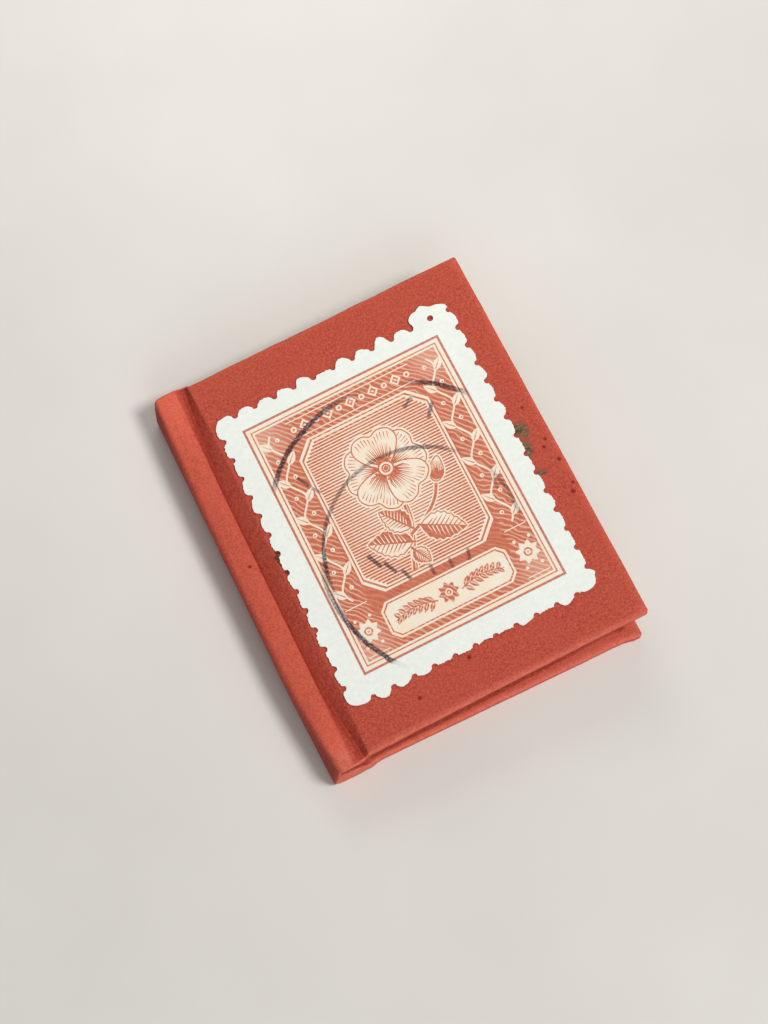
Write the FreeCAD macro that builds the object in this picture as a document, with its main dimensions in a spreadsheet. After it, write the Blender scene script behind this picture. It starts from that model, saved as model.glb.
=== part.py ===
import FreeCAD, Part
import Sketcher
import os

# Miniature case-bound stamp album, lying on its back, spine to the left (-X),
# head of the book towards +Y.  Millimetres.
#
# All profiles are drawn in one book frame: x from the spine's outer face,
# y from the back cover's tail edge, z up from the table, with the album shut.
# Each piece's placement then moves the middle of the album's footprint to the
# origin and, for the pieces above the wedge, opens them to the resting angle.

doc = FreeCAD.newDocument("StampAlbum")

# ---------------------------------------------------------------- sizes ----
sheet = doc.addObject("Spreadsheet::Sheet", "Sizes")

SIZES = [
    ("cover_width", "22.10"),      # covered board, joint edge to fore-edge
    ("cover_height", "30.28"),     # covered board, tail to head
    ("tail_shift", "0.42"),        # the back cover sits this much lower
    ("shut_thick", "3.30"),        # whole album, pressed shut
    ("board_thick", "0.70"),       # card in the covers and the spine
    ("paper_thick", "0.12"),       # red covering paper
    ("turn_in", "2.60"),           # covering paper folded over inside
    ("strip_width", "3.09"),       # spine ridge and joint groove together
    ("hinge_inset", "0.24"),       # paper hinge line behind the spine's face
    ("hinge_depth", "0.25"),       # paper hinge line below the cover's face
    ("groove_depth", "0.70"),      # joint groove below the cover's face
    ("ridge_reach", "1.82"),       # how far the ridge runs in before the groove
    ("ridge_drop", "0.05"),        # the ridge is a little lower than the cover
    ("ridge_width", "0.86"),       # flat of the ridge over the spine board
    ("spine_gap", "0.02"),         # spine shorter than the covers, each end
    ("paste_thick", "0.10"),       # pastedown sheet
    ("paste_margin", "1.30"),      # red border left around a pastedown
    ("leaf_thick", "0.10"),        # album leaf
    ("leaf_gap", "0.02"),          # air between two shut leaves
    ("leaf_tail", "1.55"),         # leaf tail edge above the back cover's tail
    ("leaf_height", "27.60"),
    ("leaf_fore", "24.05"),        # leaf fore-edge
    ("leaf_axis", "1.40"),         # line the leaf roots bend about
    ("leaf_root", "0.15"),         # free gap at the bending root
    ("axis_rise", "0.30"),         # root lines above and below mid-thickness
    ("lining_thick", "0.08"),
    ("lining_height", "1.90"),
    ("glue_thick", "0.12"),
    ("stamp_width", "19.40"),
    ("stamp_height", "23.30"),
    ("stamp_thick", "0.10"),
    ("stamp_mid_across", "13.21"),
    ("stamp_mid_up", "15.72"),
    ("perf_radius", "0.34"),
    ("perf_across", "12"),         # perforations along a short side
    ("perf_down", "15"),           # perforations along a long side
    ("ajar_angle", "5.0"),         # resting opening of the front cover, degrees
]


class Dim:
    """A size with its value and the sheet expression it comes from."""

    def __init__(self, value, text):
        self.value = float(value)
        self.text = text

    @staticmethod
    def of(other):
        return other if isinstance(other, Dim) else Dim(other, repr(float(other)))

    def __add__(self, other):
        o = Dim.of(other)
        return Dim(self.value + o.value, "(" + self.text + " + " + o.text + ")")

    __radd__ = __add__

    def __sub__(self, other):
        o = Dim.of(other)
        return Dim(self.value - o.value, "(" + self.text + " - " + o.text + ")")

    def __rsub__(self, other):
        return Dim.of(other) - self

    def __mul__(self, other):
        o = Dim.of(other)
        return Dim(self.value * o.value, "(" + self.text + " * " + o.text + ")")

    __rmul__ = __mul__

    def __truediv__(self, other):
        o = Dim.of(other)
        return Dim(self.value / o.value, "(" + self.text + " / " + o.text + ")")


S = {}
for row, (name, number) in enumerate(SIZES, start=1):
    sheet.set("A%d" % row, name)
    sheet.set("B%d" % row, number)
    sheet.setAlias("B%d" % row, name)
    S[name] = Dim(number, "Sizes." + name)
doc.recompute()

ZERO = Dim(0.0, "0")

# derived heights and positions, shut
T = S["shut_thick"]
paper = S["paper_thick"]
cover_thick = S["board_thick"] + 2.0 * paper
joint = S["strip_width"]                       # joint edge of both covers
fore = joint + S["cover_width"]                # fore-edge of both covers
front_tail = S["tail_shift"]
front_head = front_tail + S["cover_height"]
back_tail = ZERO
back_head = S["cover_height"]
spine_tail = S["spine_gap"]
spine_head = front_head - S["spine_gap"]
top_under = T - cover_thick                    # inner face of the front turn-ins

# hinge lines in the book frame (x, z)
HINGE_BACK = (S["hinge_inset"].value, S["hinge_depth"].value)
HINGE_FRONT = (S["hinge_inset"].value, (T - S["hinge_depth"]).value)
ROOT_FRONT = (S["leaf_axis"].value, (T / 2.0 + S["axis_rise"]).value)
ROOT_BACK = (S["leaf_axis"].value, (T / 2.0 - S["axis_rise"]).value)
AJAR = S["ajar_angle"].value

MIDDLE = FreeCAD.Vector(-(fore / 2.0).value, -(front_head / 2.0).value, 0)


def placed(about=None, degrees=0.0):
    """Placement that centres the book, after opening by degrees about a line."""
    if about is None:
        return FreeCAD.Placement(MIDDLE, FreeCAD.Rotation())
    return FreeCAD.Placement(
        MIDDLE,
        FreeCAD.Rotation(FreeCAD.Vector(0, -1, 0), degrees),
        FreeCAD.Vector(about[0], 0, about[1]),
    )


pieces = []


def new_body(label, placement):
    body = doc.addObject("PartDesign::Body", label)
    body.Label = label
    body.Placement = placement
    pieces.append(body)
    return body


def polygon(body, name, plane, points, offset, circles=()):
    """Closed polygon (and circles) on one of the body's planes, every corner
    held by two sizes from the sheet."""
    sk = body.newObject("Sketcher::SketchObject", name)
    support = [f for f in body.Origin.OriginFeatures if f.Role == plane][0]
    sk.AttachmentSupport = (support, [""])
    sk.MapMode = "FlatFace"
    sk.AttachmentOffset = FreeCAD.Placement(
        FreeCAD.Vector(0, 0, offset.value), FreeCAD.Rotation()
    )
    sk.setExpression("AttachmentOffset.Base.z", offset.text)
    n = len(points)
    for i in range(n):
        a, b = points[i], points[(i + 1) % n]
        sk.addGeometry(
            Part.LineSegment(
                FreeCAD.Vector(a[0].value, a[1].value, 0),
                FreeCAD.Vector(b[0].value, b[1].value, 0),
            ),
            False,
        )
    for i in range(n):
        sk.addConstraint(Sketcher.Constraint("Coincident", i, 2, (i + 1) % n, 1))
    for i, point in enumerate(points):
        hold(sk, i, 1, point)
    for centre, radius in circles:
        g = sk.addGeometry(
            Part.Circle(
                FreeCAD.Vector(centre[0].value, centre[1].value, 0),
                FreeCAD.Vector(0, 0, 1),
                radius.value,
            ),
            False,
        )
        hold(sk, g, 3, centre)
        c = sk.addConstraint(Sketcher.Constraint("Radius", g, radius.value))
        sk.setExpression("Constraints[%d]" % c, radius.text)
    return sk


def hold(sk, geo, pos, point):
    for kind, axis, size in (("DistanceX", -2, point[0]), ("DistanceY", -1, point[1])):
        if abs(size.value) < 1e-9:
            sk.addConstraint(Sketcher.Constraint("PointOnObject", geo, pos, axis))
        else:
            c = sk.addConstraint(
                Sketcher.Constraint(kind, -1, 1, geo, pos, size.value)
            )
            sk.setExpression("Constraints[%d]" % c, size.text)


def pad(body, name, sk, length, reverse=False):
    f = body.newObject("PartDesign::Pad", name)
    f.Profile = sk
    f.Length = length.value
    f.setExpression("Length", length.text)
    f.Reversed = reverse
    sk.Visibility = False
    return f


def pocket(body, name, sk, length, reverse):
    f = body.newObject("PartDesign::Pocket", name)
    f.Profile = sk
    f.Length = length.value
    f.setExpression("Length", length.text)
    f.Reversed = reverse
    sk.Visibility = False
    return f


def rect(x0, y0, x1, y1):
    return [(x0, y0), (x1, y0), (x1, y1), (x0, y1)]


def sheet_body(label, x0, x1, y0, y1, z0, thick, placement):
    """A flat rectangular sheet or board."""
    body = new_body(label, placement)
    sk = polygon(body, label + "_outline", "XY_Plane", rect(x0, y0, x1, y1), z0)
    pad(body, label + "_pad", sk, thick)
    return body


def strip_body(label, profile, y0, length, placement):
    """A profile across the book, drawn in x and z, run along the spine."""
    body = new_body(label, placement)
    run_along(body, label, profile, y0, length)
    return body


def run_along(body, name, profile, y0, length):
    # the upright plane's normal points to the tail, so the offset is negative
    sk = polygon(body, name + "_profile", "XZ_Plane", profile, ZERO - y0)
    return pad(body, name + "_run", sk, length, reverse=True)


# --------------------------------------------------------------- covers ----
def cover_pieces(side, tail, head, z0, paper_out_up, placement):
    """Board and wrapped covering paper of one cover.  z0 is the cover's lowest
    face; paper_out_up says that the outside of the book is the upper face."""
    board = sheet_body(
        side + "_board",
        joint + paper,
        fore - paper,
        tail + paper,
        head - paper,
        z0 + paper,
        S["board_thick"],
        placement,
    )

    wrap = new_body(side + "_cover_paper", placement)
    outline = polygon(
        wrap, side + "_wrap_outline", "XY_Plane", rect(joint + paper, tail, fore, head), z0
    )
    pad(wrap, side + "_wrap_pad", outline, cover_thick)
    doc.recompute()
    full = wrap.Shape.Volume
    room = polygon(
        wrap,
        side + "_board_room",
        "YZ_Plane",
        rect(tail + paper, z0 + paper, head - paper, z0 + cover_thick - paper),
        joint + paper,
    )
    pocket(wrap, side + "_board_pocket", room, S["cover_width"] - 2.0 * paper, True)
    doc.recompute()
    hollow = wrap.Shape.Volume
    window_z = z0 if paper_out_up else z0 + cover_thick
    window = polygon(
        wrap,
        side + "_turn_in_window",
        "XY_Plane",
        rect(
            joint,
            tail + S["turn_in"],
            fore - S["turn_in"],
            head - S["turn_in"],
        ),
        window_z,
    )
    pocket(wrap, side + "_turn_in_pocket", window, paper, paper_out_up)
    doc.recompute()
    opened = wrap.Shape.Volume
    if not (opened < hollow - 1.0 < full - 2.0):
        raise RuntimeError(side + " cover paper was not hollowed")
    return board, wrap


def pastedown(side, tail, head, inner_z, inside_is_below, placement):
    """Sheet over the turn-ins; its middle is pressed down to the board."""
    label = side + "_pastedown"
    body = new_body(label, placement)
    z_low = inner_z - S["paste_thick"] if inside_is_below else inner_z
    big = polygon(
        body,
        label + "_outline",
        "XY_Plane",
        rect(
            S["leaf_axis"] + 0.45,
            tail + S["paste_margin"],
            fore - S["paste_margin"],
            head - S["paste_margin"],
        ),
        z_low,
    )
    pad(body, label + "_pad", big, S["paste_thick"])
    z_mid = inner_z if inside_is_below else inner_z - paper
    middle = polygon(
        body,
        label + "_middle",
        "XY_Plane",
        rect(
            joint + paper + 0.02,
            tail + S["turn_in"] + 0.02,
            fore - S["turn_in"] - 0.02,
            head - S["turn_in"] - 0.02,
        ),
        z_mid,
    )
    pad(body, label + "_middle_pad", middle, paper)
    return body


still = placed()
front_open = placed(HINGE_FRONT, AJAR)

cover_pieces("back", back_tail, back_head, ZERO, False, still)
pastedown("back", back_tail, back_head, cover_thick, False, still)
cover_pieces("front", front_tail, front_head, T - cover_thick, True, front_open)
pastedown("front", front_tail, front_head, top_under, True, front_open)

# ---------------------------------------------------------------- joints ---
# The red paper runs flat over the ridge, dips into a groove beside each board
# and climbs the board's edge.
groove = S["groove_depth"]
reach = S["ridge_reach"]


def joint_profile(flip):
    pts = [
        (S["ridge_width"] + 0.16, S["ridge_drop"] + 0.01),
        (reach, S["ridge_drop"] + 0.01),
        (reach + 0.40, groove - 0.04),
        (joint - 0.29, groove),
        (joint, groove - 0.25),
        (joint, ZERO),
        (joint + paper, ZERO),
        (joint + paper, groove + paper),
        (reach + 0.32, groove + paper),
        (reach - 0.06, S["ridge_drop"] + paper + 0.01),
        (S["ridge_width"] + 0.16, S["ridge_drop"] + paper + 0.01),
    ]
    # depths below the outer face become heights
    return [(x, (T - d) if flip else d) for x, d in pts]


strip_body(
    "back_joint_strip", joint_profile(False), back_tail, S["cover_height"], still
)
strip_body(
    "front_joint_strip", joint_profile(True), front_tail, S["cover_height"], front_open
)

# ---------------------------------------------------------------- spine ----
ridge = S["ridge_drop"]
ridge_w = S["ridge_width"]
inner_board = paper + S["board_thick"]

spine_wrap = strip_body(
    "spine_cover_paper",
    [
        (ridge_w, ridge),
        (ridge_w, ridge + paper),
        (paper, ridge + paper),
        (paper, T - ridge - paper),
        (ridge_w, T - ridge - paper),
        (ridge_w, T - ridge),
        (Dim(0.18, "0.18"), T - ridge),
        (ZERO, T - ridge - 0.18),
        (ZERO, ridge + 0.18),
        (Dim(0.18, "0.18"), ridge),
    ],
    spine_tail,
    spine_head - spine_tail,
    still,
)
# folded lips at tail and head: over the board's end, then in behind it
end_profile = rect(paper, ridge + paper, inner_board, T - ridge - paper)
lip_profile = rect(inner_board, Dim(0.5, "0.5"), inner_board + paper, T - 0.5)
run_along(spine_wrap, "tail_end", end_profile, spine_tail, paper)
run_along(spine_wrap, "head_end", end_profile, spine_head - paper, paper)
run_along(spine_wrap, "tail_lip", lip_profile, spine_tail, S["turn_in"])
run_along(spine_wrap, "head_lip", lip_profile, spine_head - S["turn_in"], S["turn_in"])

strip_body(
    "spine_board",
    rect(paper, ridge + paper, inner_board, T - ridge - paper),
    spine_tail + paper,
    spine_head - spine_tail - 2.0 * paper,
    still,
)

lining_low = T / 2.0 - S["lining_height"] / 2.0
strip_body(
    "spine_lining",
    rect(inner_board, lining_low, inner_board + S["lining_thick"], lining_low + S["lining_height"]),
    spine_tail + S["turn_in"] + 0.05,
    spine_head - spine_tail - 2.0 * S["turn_in"] - 0.10,
    still,
)

pitch = S["leaf_thick"] + S["leaf_gap"]
block_low = T / 2.0 - 5.0 * pitch + S["leaf_gap"] / 2.0
glue_x = inner_board + S["lining_thick"]
strip_body(
    "spine_glue",
    rect(glue_x, block_low, glue_x + S["glue_thick"], T - block_low),
    spine_tail + S["turn_in"] + 0.05,
    spine_head - spine_tail - 2.0 * S["turn_in"] - 0.10,
    still,
)

# ---------------------------------------------------------------- leaves ---
# Five sheets above the middle turn with the front cover, five below stay with
# the back cover; the shares are the parts of the cover's angle that each takes.
SHARES = [0.92, 0.76, 0.60, 0.44, 0.28]
NAMES = [
    "front_flyleaf", "leaf_1", "leaf_2", "leaf_3", "leaf_4",
    "leaf_5", "leaf_6", "leaf_7", "leaf_8", "back_flyleaf",
]
for i, name in enumerate(NAMES):
    low = T - block_low - S["leaf_thick"] - pitch * float(i)
    upper = i < 5
    sheet_body(
        name,
        S["leaf_axis"] + S["leaf_root"],
        S["leaf_fore"],
        S["leaf_tail"],
        S["leaf_tail"] + S["leaf_height"],
        low,
        S["leaf_thick"],
        placed(ROOT_FRONT, AJAR * SHARES[i]) if upper else still,
    )

# ----------------------------------------------------------------- stamp ---
stamp = new_body("cover_stamp", front_open)
sx0 = S["stamp_mid_across"] - S["stamp_width"] / 2.0
sy0 = S["stamp_mid_up"] - S["stamp_height"] / 2.0
outline = polygon(
    stamp,
    "stamp_outline",
    "XY_Plane",
    rect(sx0, sy0, sx0 + S["stamp_width"], sy0 + S["stamp_height"]),
    T,
)
pad(stamp, "stamp_pad", outline, S["stamp_thick"])
doc.recompute()
whole = stamp.Shape.Volume
holes = []
for k in range(int(S["perf_across"].value)):
    x = sx0 + S["stamp_width"] * ((k + 0.5) / S["perf_across"].value)
    holes.append(((x, sy0), S["perf_radius"]))
    holes.append(((x, sy0 + S["stamp_height"]), S["perf_radius"]))
for k in range(int(S["perf_down"].value)):
    y = sy0 + S["stamp_height"] * ((k + 0.5) / S["perf_down"].value)
    holes.append(((sx0, y), S["perf_radius"]))
    holes.append(((sx0 + S["stamp_width"], y), S["perf_radius"]))
perf = polygon(stamp, "stamp_perforations", "XY_Plane", [], T, holes)
pocket(stamp, "stamp_perforate", perf, S["stamp_thick"], True)
doc.recompute()
if not stamp.Shape.Volume < whole - 0.5:
    raise RuntimeError("the stamp's perforations cut nothing")

# ---------------------------------------------------------------- output ---
doc.recompute()
for obj in doc.Objects:
    if "Invalid" in obj.State or "Error" in obj.State:
        raise RuntimeError("failed: " + obj.Name + " " + str(obj.State))
for body in pieces:
    if body.Shape.isNull() or not body.Shape.isValid():
        raise RuntimeError("bad shape: " + body.Label)
    if len(body.Shape.Solids) != 1:
        raise RuntimeError("not one solid: " + body.Label)

os.makedirs("parts", exist_ok=True)
for body in pieces:
    body.Shape.exportStep("parts/" + body.Label + ".step")
    b = body.Shape.BoundBox
    print(
        "%-18s vol %8.3f  x %7.3f %7.3f  y %7.3f %7.3f  z %6.3f %6.3f"
        % (body.Label, body.Shape.Volume, b.XMin, b.XMax, b.YMin, b.YMax, b.ZMin, b.ZMax)
    )
print("hinge back", HINGE_BACK[0] + MIDDLE.x, HINGE_BACK[1])
print("hinge front", HINGE_FRONT[0] + MIDDLE.x, HINGE_FRONT[1])
print("root front", ROOT_FRONT[0] + MIDDLE.x, ROOT_FRONT[1])
print("root back", ROOT_BACK[0] + MIDDLE.x, ROOT_BACK[1])
print("pieces", len(pieces))
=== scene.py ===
import math

import bpy
import numpy as np
from mathutils import Matrix, Vector, geometry, noise


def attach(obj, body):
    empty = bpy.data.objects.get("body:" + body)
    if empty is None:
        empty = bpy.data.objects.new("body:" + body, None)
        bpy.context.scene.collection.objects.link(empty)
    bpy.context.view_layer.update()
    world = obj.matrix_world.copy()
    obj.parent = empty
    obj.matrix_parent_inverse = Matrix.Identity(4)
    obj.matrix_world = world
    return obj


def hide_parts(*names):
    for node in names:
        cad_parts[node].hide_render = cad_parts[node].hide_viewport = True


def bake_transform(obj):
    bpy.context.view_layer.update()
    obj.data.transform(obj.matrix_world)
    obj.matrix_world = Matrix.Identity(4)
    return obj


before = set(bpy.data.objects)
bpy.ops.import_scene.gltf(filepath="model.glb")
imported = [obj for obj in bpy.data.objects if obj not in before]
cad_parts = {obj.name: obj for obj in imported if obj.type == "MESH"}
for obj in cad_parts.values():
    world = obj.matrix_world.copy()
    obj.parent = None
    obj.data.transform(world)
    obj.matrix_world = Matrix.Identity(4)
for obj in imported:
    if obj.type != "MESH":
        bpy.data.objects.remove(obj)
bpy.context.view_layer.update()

# ------------------------------------------------------------------ the album's own numbers, in mm
# Book coordinates, with the album shut: x from the spine's outer face, y from the back
# cover's tail edge, z from the table. The front cover rests five degrees ajar.
MM = 0.001
THICK = 3.30
ORIGIN = np.array([12.595, 15.35, 0.0])
AJAR = math.radians(5.0)
FRONT_PIN = (0.24, 3.05)
UPPER_ROOT = (1.40, 1.95)
LOWER_ROOT = (1.40, 1.35)
JOINT_X = 3.09          # where the boards begin, past the grooves
FORE_X = 25.19
BOARD = 0.94            # a covered board's thickness
PAPER = 0.09            # the covering paper as modelled
FRONT_Y = (0.42, 30.70)
BACK_Y = (0.00, 30.28)
SPINE_Y = (-0.17, 30.88)
STAMP_MID = np.array([10.19 + JOINT_X, 15.12 + 0.42])   # middle of the print
STAMP_TURN = math.radians(0.17)
# bend lines of the covering over the two ridge corners
FRONT_BEND = ((0.20, 15.35, 3.15), (1.05, 15.35, 3.546))


def row(p):
    """Book millimetres to the row frame's metres."""
    return (np.asarray(p, float) - ORIGIN) * MM


def turn(p, pin, angle):
    """Turns points about a line along the album's height, fore-edge upwards."""
    q = np.array(p, float)
    dx, dz = q[:, 0] - pin[0], q[:, 2] - pin[1]
    c, s = np.cos(angle), np.sin(angle)
    q[:, 0] = pin[0] + dx * c - dz * s
    q[:, 2] = pin[1] + dx * s + dz * c
    return q


def weight(p, start, end):
    s, e = np.array(start, float), np.array(end, float)
    d = e - s
    q = np.array(p, float)
    q[:, 1] = 0.0
    s[1] = e[1] = 0.0
    t = np.clip((q - s) @ d / (d @ d), 0, 1)
    return t * t * (3 - 2 * t)


def smooth(t):
    t = np.clip(t, 0, 1)
    return t * t * (3 - 2 * t)


def wob(p, per_mm, seed):
    """Smooth noise from -1 to 1 at points in book millimetres."""
    return np.array([noise.noise(Vector((x * per_mm + seed, y * per_mm - 2.3 * seed, z * per_mm + 0.7 * seed))) for x, y, z in p])


def vertex_normals(v, faces):
    n = np.zeros_like(v)
    for f in faces:
        a, b, c = v[f[0]], v[f[1]], v[f[2]]
        if len(f) == 4:
            m = np.cross(v[f[2]] - a, v[f[3]] - b)
        else:
            m = np.cross(b - a, c - a)
        for i in f:
            n[i] += m
    length = np.linalg.norm(n, axis=1)
    length[length < 1e-12] = 1.0
    return n / length[:, None]


def add_mesh(name, placed, faces, shut, material, floats=None, sharp=38.0, art=None):
    """A mesh object from points in book millimetres, as they lie at rest. shut keeps each point's
    place on the shut album, which the materials read, so that a pattern stays put as a sheet bends."""
    me = bpy.data.meshes.new(name)
    me.from_pydata(row(placed).tolist(), [], [tuple(int(i) for i in f) for f in faces])
    me.validate()
    me.polygons.foreach_set("use_smooth", np.ones(len(me.polygons), bool))
    a = me.attributes.new("shut", "FLOAT_VECTOR", "POINT")
    a.data.foreach_set("vector", np.asarray(shut, np.float32).ravel())
    if art is not None:
        a = me.attributes.new("art", "FLOAT_VECTOR", "POINT")
        a.data.foreach_set("vector", np.asarray(art, np.float32).ravel())
    for key, values in (floats or {}).items():
        a = me.attributes.new(key, "FLOAT", "POINT")
        a.data.foreach_set("value", np.asarray(values, np.float32))
    me.set_sharp_from_angle(angle=math.radians(sharp))
    me.update()
    ob = bpy.data.objects.new(name, me)
    bpy.context.scene.collection.objects.link(ob)
    ob.data.materials.append(material)
    return ob


# ------------------------------------------------------------------ materials
def srgb(r, g, b):
    out = []
    for c in (r, g, b):
        c /= 255.0
        out.append(c / 12.92 if c <= 0.04045 else ((c + 0.055) / 1.055) ** 2.4)
    return (*out, 1.0)


class Finish:
    """A material of one Principled shader, with short names for the nodes that feed it."""

    def __init__(self, name, roughness=0.7, specular=0.3):
        self.m = bpy.data.materials.new(name)
        self.m.use_nodes = True
        self.t = self.m.node_tree
        self.t.nodes.clear()
        out = self.node("ShaderNodeOutputMaterial")
        self.b = self.node("ShaderNodeBsdfPrincipled")
        self.t.links.new(self.b.outputs[0], out.inputs[0])
        self.b.inputs["Roughness"].default_value = roughness
        self.b.inputs["Specular IOR Level"].default_value = specular

    def node(self, kind, **props):
        n = self.t.nodes.new(kind)
        for k, v in props.items():
            setattr(n, k, v)
        return n

    def put(self, socket, value):
        if isinstance(value, bpy.types.NodeSocket):
            self.t.links.new(value, socket)
        elif value is not None:
            socket.default_value = value

    def attr(self, name, out="Vector"):
        return self.node("ShaderNodeAttribute", attribute_name=name, attribute_type="GEOMETRY").outputs[out]

    def scaled(self, vec, by, offset=(0, 0, 0), turn=(0, 0, 0)):
        n = self.node("ShaderNodeMapping")
        self.put(n.inputs["Vector"], vec)
        n.inputs["Scale"].default_value = by
        n.inputs["Location"].default_value = offset
        n.inputs["Rotation"].default_value = turn
        return n.outputs[0]

    def noise(self, vec, scale, detail=2.0, rough=0.5, bend=0.0):
        n = self.node("ShaderNodeTexNoise", noise_dimensions="3D")
        self.put(n.inputs["Vector"], vec)
        n.inputs["Scale"].default_value = scale
        n.inputs["Detail"].default_value = detail
        n.inputs["Roughness"].default_value = rough
        n.inputs["Distortion"].default_value = bend
        return n.outputs[0]

    def cells(self, vec, scale, jitter=1.0):
        n = self.node("ShaderNodeTexVoronoi")
        self.put(n.inputs["Vector"], vec)
        n.inputs["Scale"].default_value = scale
        n.inputs["Randomness"].default_value = jitter
        return n.outputs["Distance"], n.outputs["Color"]

    def math(self, op, a, b=None, c=None, clamp=False):
        n = self.node("ShaderNodeMath", operation=op, use_clamp=clamp)
        for s, v in zip(n.inputs, (a, b, c)):
            self.put(s, v)
        return n.outputs[0]

    def vmath(self, op, a, b=None):
        n = self.node("ShaderNodeVectorMath", operation=op)
        self.put(n.inputs[0], a)
        self.put(n.inputs[1], b)
        return n.outputs["Value"] if op in ("LENGTH", "DISTANCE", "DOT_PRODUCT") else n.outputs[0]

    def span(self, v, lo, hi, a=0.0, b=1.0, soft=True):
        n = self.node("ShaderNodeMapRange", interpolation_type="SMOOTHSTEP" if soft else "LINEAR")
        self.put(n.inputs["Value"], v)
        for k, x in (("From Min", lo), ("From Max", hi), ("To Min", a), ("To Max", b)):
            n.inputs[k].default_value = x
        return n.outputs[0]

    def ramp(self, v, stops, mode="LINEAR"):
        n = self.node("ShaderNodeValToRGB")
        n.color_ramp.interpolation = mode
        e = n.color_ramp.elements
        while len(e) > 1:
            e.remove(e[-1])
        e[0].position, e[0].color = stops[0]
        for p, c in stops[1:]:
            x = e.new(p)
            x.color = c
        self.put(n.inputs[0], v)
        return n.outputs[0]

    def mix(self, f, a, b, mode="MIX"):
        n = self.node("ShaderNodeMix", data_type="RGBA", blend_type=mode)
        self.put(n.inputs[0], f)
        self.put(n.inputs[6], a)
        self.put(n.inputs[7], b)
        return n.outputs[2]

    def split(self, vec):
        n = self.node("ShaderNodeSeparateXYZ")
        self.put(n.inputs[0], vec)
        return n.outputs

    def bump(self, height, strength, distance, under=None):
        n = self.node("ShaderNodeBump")
        n.inputs["Strength"].default_value = strength
        n.inputs["Distance"].default_value = distance
        self.put(n.inputs["Height"], height)
        self.put(n.inputs["Normal"], under)
        return n.outputs[0]

    def colour(self, v):
        self.put(self.b.inputs["Base Color"], v)

    def rough(self, v):
        self.put(self.b.inputs["Roughness"], v)

    def normal(self, v):
        self.put(self.b.inputs["Normal"], v)


def red_paper():
    """Uncoated red paper over card: fine mottling, fibres, paler where it is rubbed, with painted highlight on the
    ridge and on the edges facing the light, and painted shade in the grooves and under the covers' edges.
    """
    f = Finish("red_paper", 0.8, 0.22)
    p = f.attr("shut")
    fine = f.noise(p, 4.5, 3.0, 0.6)
    grain = f.noise(p, 8.5, 2.0, 0.6)
    broad = f.noise(p, 0.42, 2.0, 0.5)
    fibre = f.noise(f.scaled(p, (2.6, 0.9, 2.6), turn=(0, 0, 0.5)), 3.2, 3.0, 0.6, 0.6)
    col = f.ramp(fine, [(0.28, srgb(163, 58, 43)), (0.5, srgb(187, 79, 61)), (0.72, srgb(208, 97, 77))])
    col = f.mix(f.span(grain, 0.48, 0.68, 0.0, 0.62), col, srgb(158, 51, 36))
    col = f.mix(f.span(grain, 0.50, 0.34, 0.0, 0.48), col, srgb(210, 100, 80))
    col = f.mix(f.span(broad, 0.35, 0.65, 0.0, 0.30), col, srgb(191, 83, 65))
    col = f.mix(f.span(fibre, 0.58, 0.75, 0.0, 0.40), col, srgb(209, 101, 80))
    # rubbed edges, together with painted highlight: the wear attribute also paints the ridge and the rims and edge
    # walls lit from the tail paler
    worn = f.attr("wear", "Fac")
    ragged = f.span(f.noise(p, 2.3, 4.0, 0.65), 0.3, 0.62, 0.55, 1.0)
    worn = f.math("MULTIPLY", worn, ragged, clamp=True)
    # painted highlight: the rubbed colour turns paler towards the tail, where the rims face the light
    bare = f.mix(f.span(f.split(p)[1], 2.6, 0.5), srgb(229, 107, 84), srgb(229, 118, 99))
    col = f.mix(f.math("MULTIPLY", worn, f.span(grain, 0.35, 0.65, 1.0, 0.66)), col, bare)
    # painted shade: a deeper red in the grooves, low on the walls turned from the light and in the gaps under the
    # covers' edges
    painted_shade = f.attr("painted_shade", "Fac")
    col = f.mix(f.math("MULTIPLY", painted_shade, f.span(fine, 0.25, 0.75, 1.0, 0.72)), col, srgb(122, 22, 7))
    # scattered dark flecks
    d, c = f.cells(p, 0.55)
    some = f.span(f.split(c)[0], 0.80, 0.84)
    fleck = f.math("MULTIPLY", f.span(d, 0.075, 0.03), some)
    col = f.mix(f.math("MULTIPLY", fleck, 0.55), col, srgb(118, 34, 28))
    # a few stronger spots beside the stamp and on the ridge
    spots = None
    for x, y, z, r in ((21.09, 17.44, 3.3, 0.16), (21.48, 14.58, 3.3, 0.17), (21.13, 14.07, 3.3, 0.17), (21.67, 12.77, 3.3, 0.20),
                       (21.76, 10.78, 3.3, 0.16), (21.45, 10.18, 3.3, 0.22), (5.00, 1.73, 3.3, 0.20), (9.4, 2.75, 3.3, 0.22),
                       (-1.66, 15.81, 3.28, 0.17), (-1.15, 26.68, 3.2, 0.12), (20.0, 17.5, 3.3, 0.12)):
        away = f.vmath("DISTANCE", p, (x + JOINT_X, y + 0.42, z))
        s = f.span(away, r * 1.15, r * 0.40)
        spots = s if spots is None else f.math("MAXIMUM", spots, s)
    spots = f.math("MULTIPLY", spots, f.span(f.noise(p, 5.0, 2.0), 0.3, 0.6, 0.7, 1.0))
    col = f.mix(f.math("MULTIPLY", spots, 0.88), col, srgb(122, 20, 12))
    paste = None
    for x, y, r in ((0.54, 15.82, 0.26), (0.36, 15.50, 0.27), (0.38, 15.20, 0.22), (0.42, 14.92, 0.20), (0.56, 14.22, 0.26)):
        s = f.span(f.vmath("DISTANCE", p, (x + JOINT_X, y + 0.42, 3.3)), r, r * 0.45)
        paste = s if paste is None else f.math("MAXIMUM", paste, s)
    col = f.mix(f.math("MULTIPLY", paste, f.span(grain, 0.3, 0.6, 0.7, 0.97)), col, srgb(76, 48, 30))
    f.colour(col)
    f.rough(f.span(fine, 0.2, 0.8, 0.70, 0.92))
    h = f.math("ADD", f.math("MULTIPLY", fine, 0.6), f.math("MULTIPLY", grain, 0.4))
    h = f.math("ADD", h, f.math("MULTIPLY", fibre, 0.35))
    f.normal(f.bump(h, 0.55, 0.00003))
    return f.m


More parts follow.
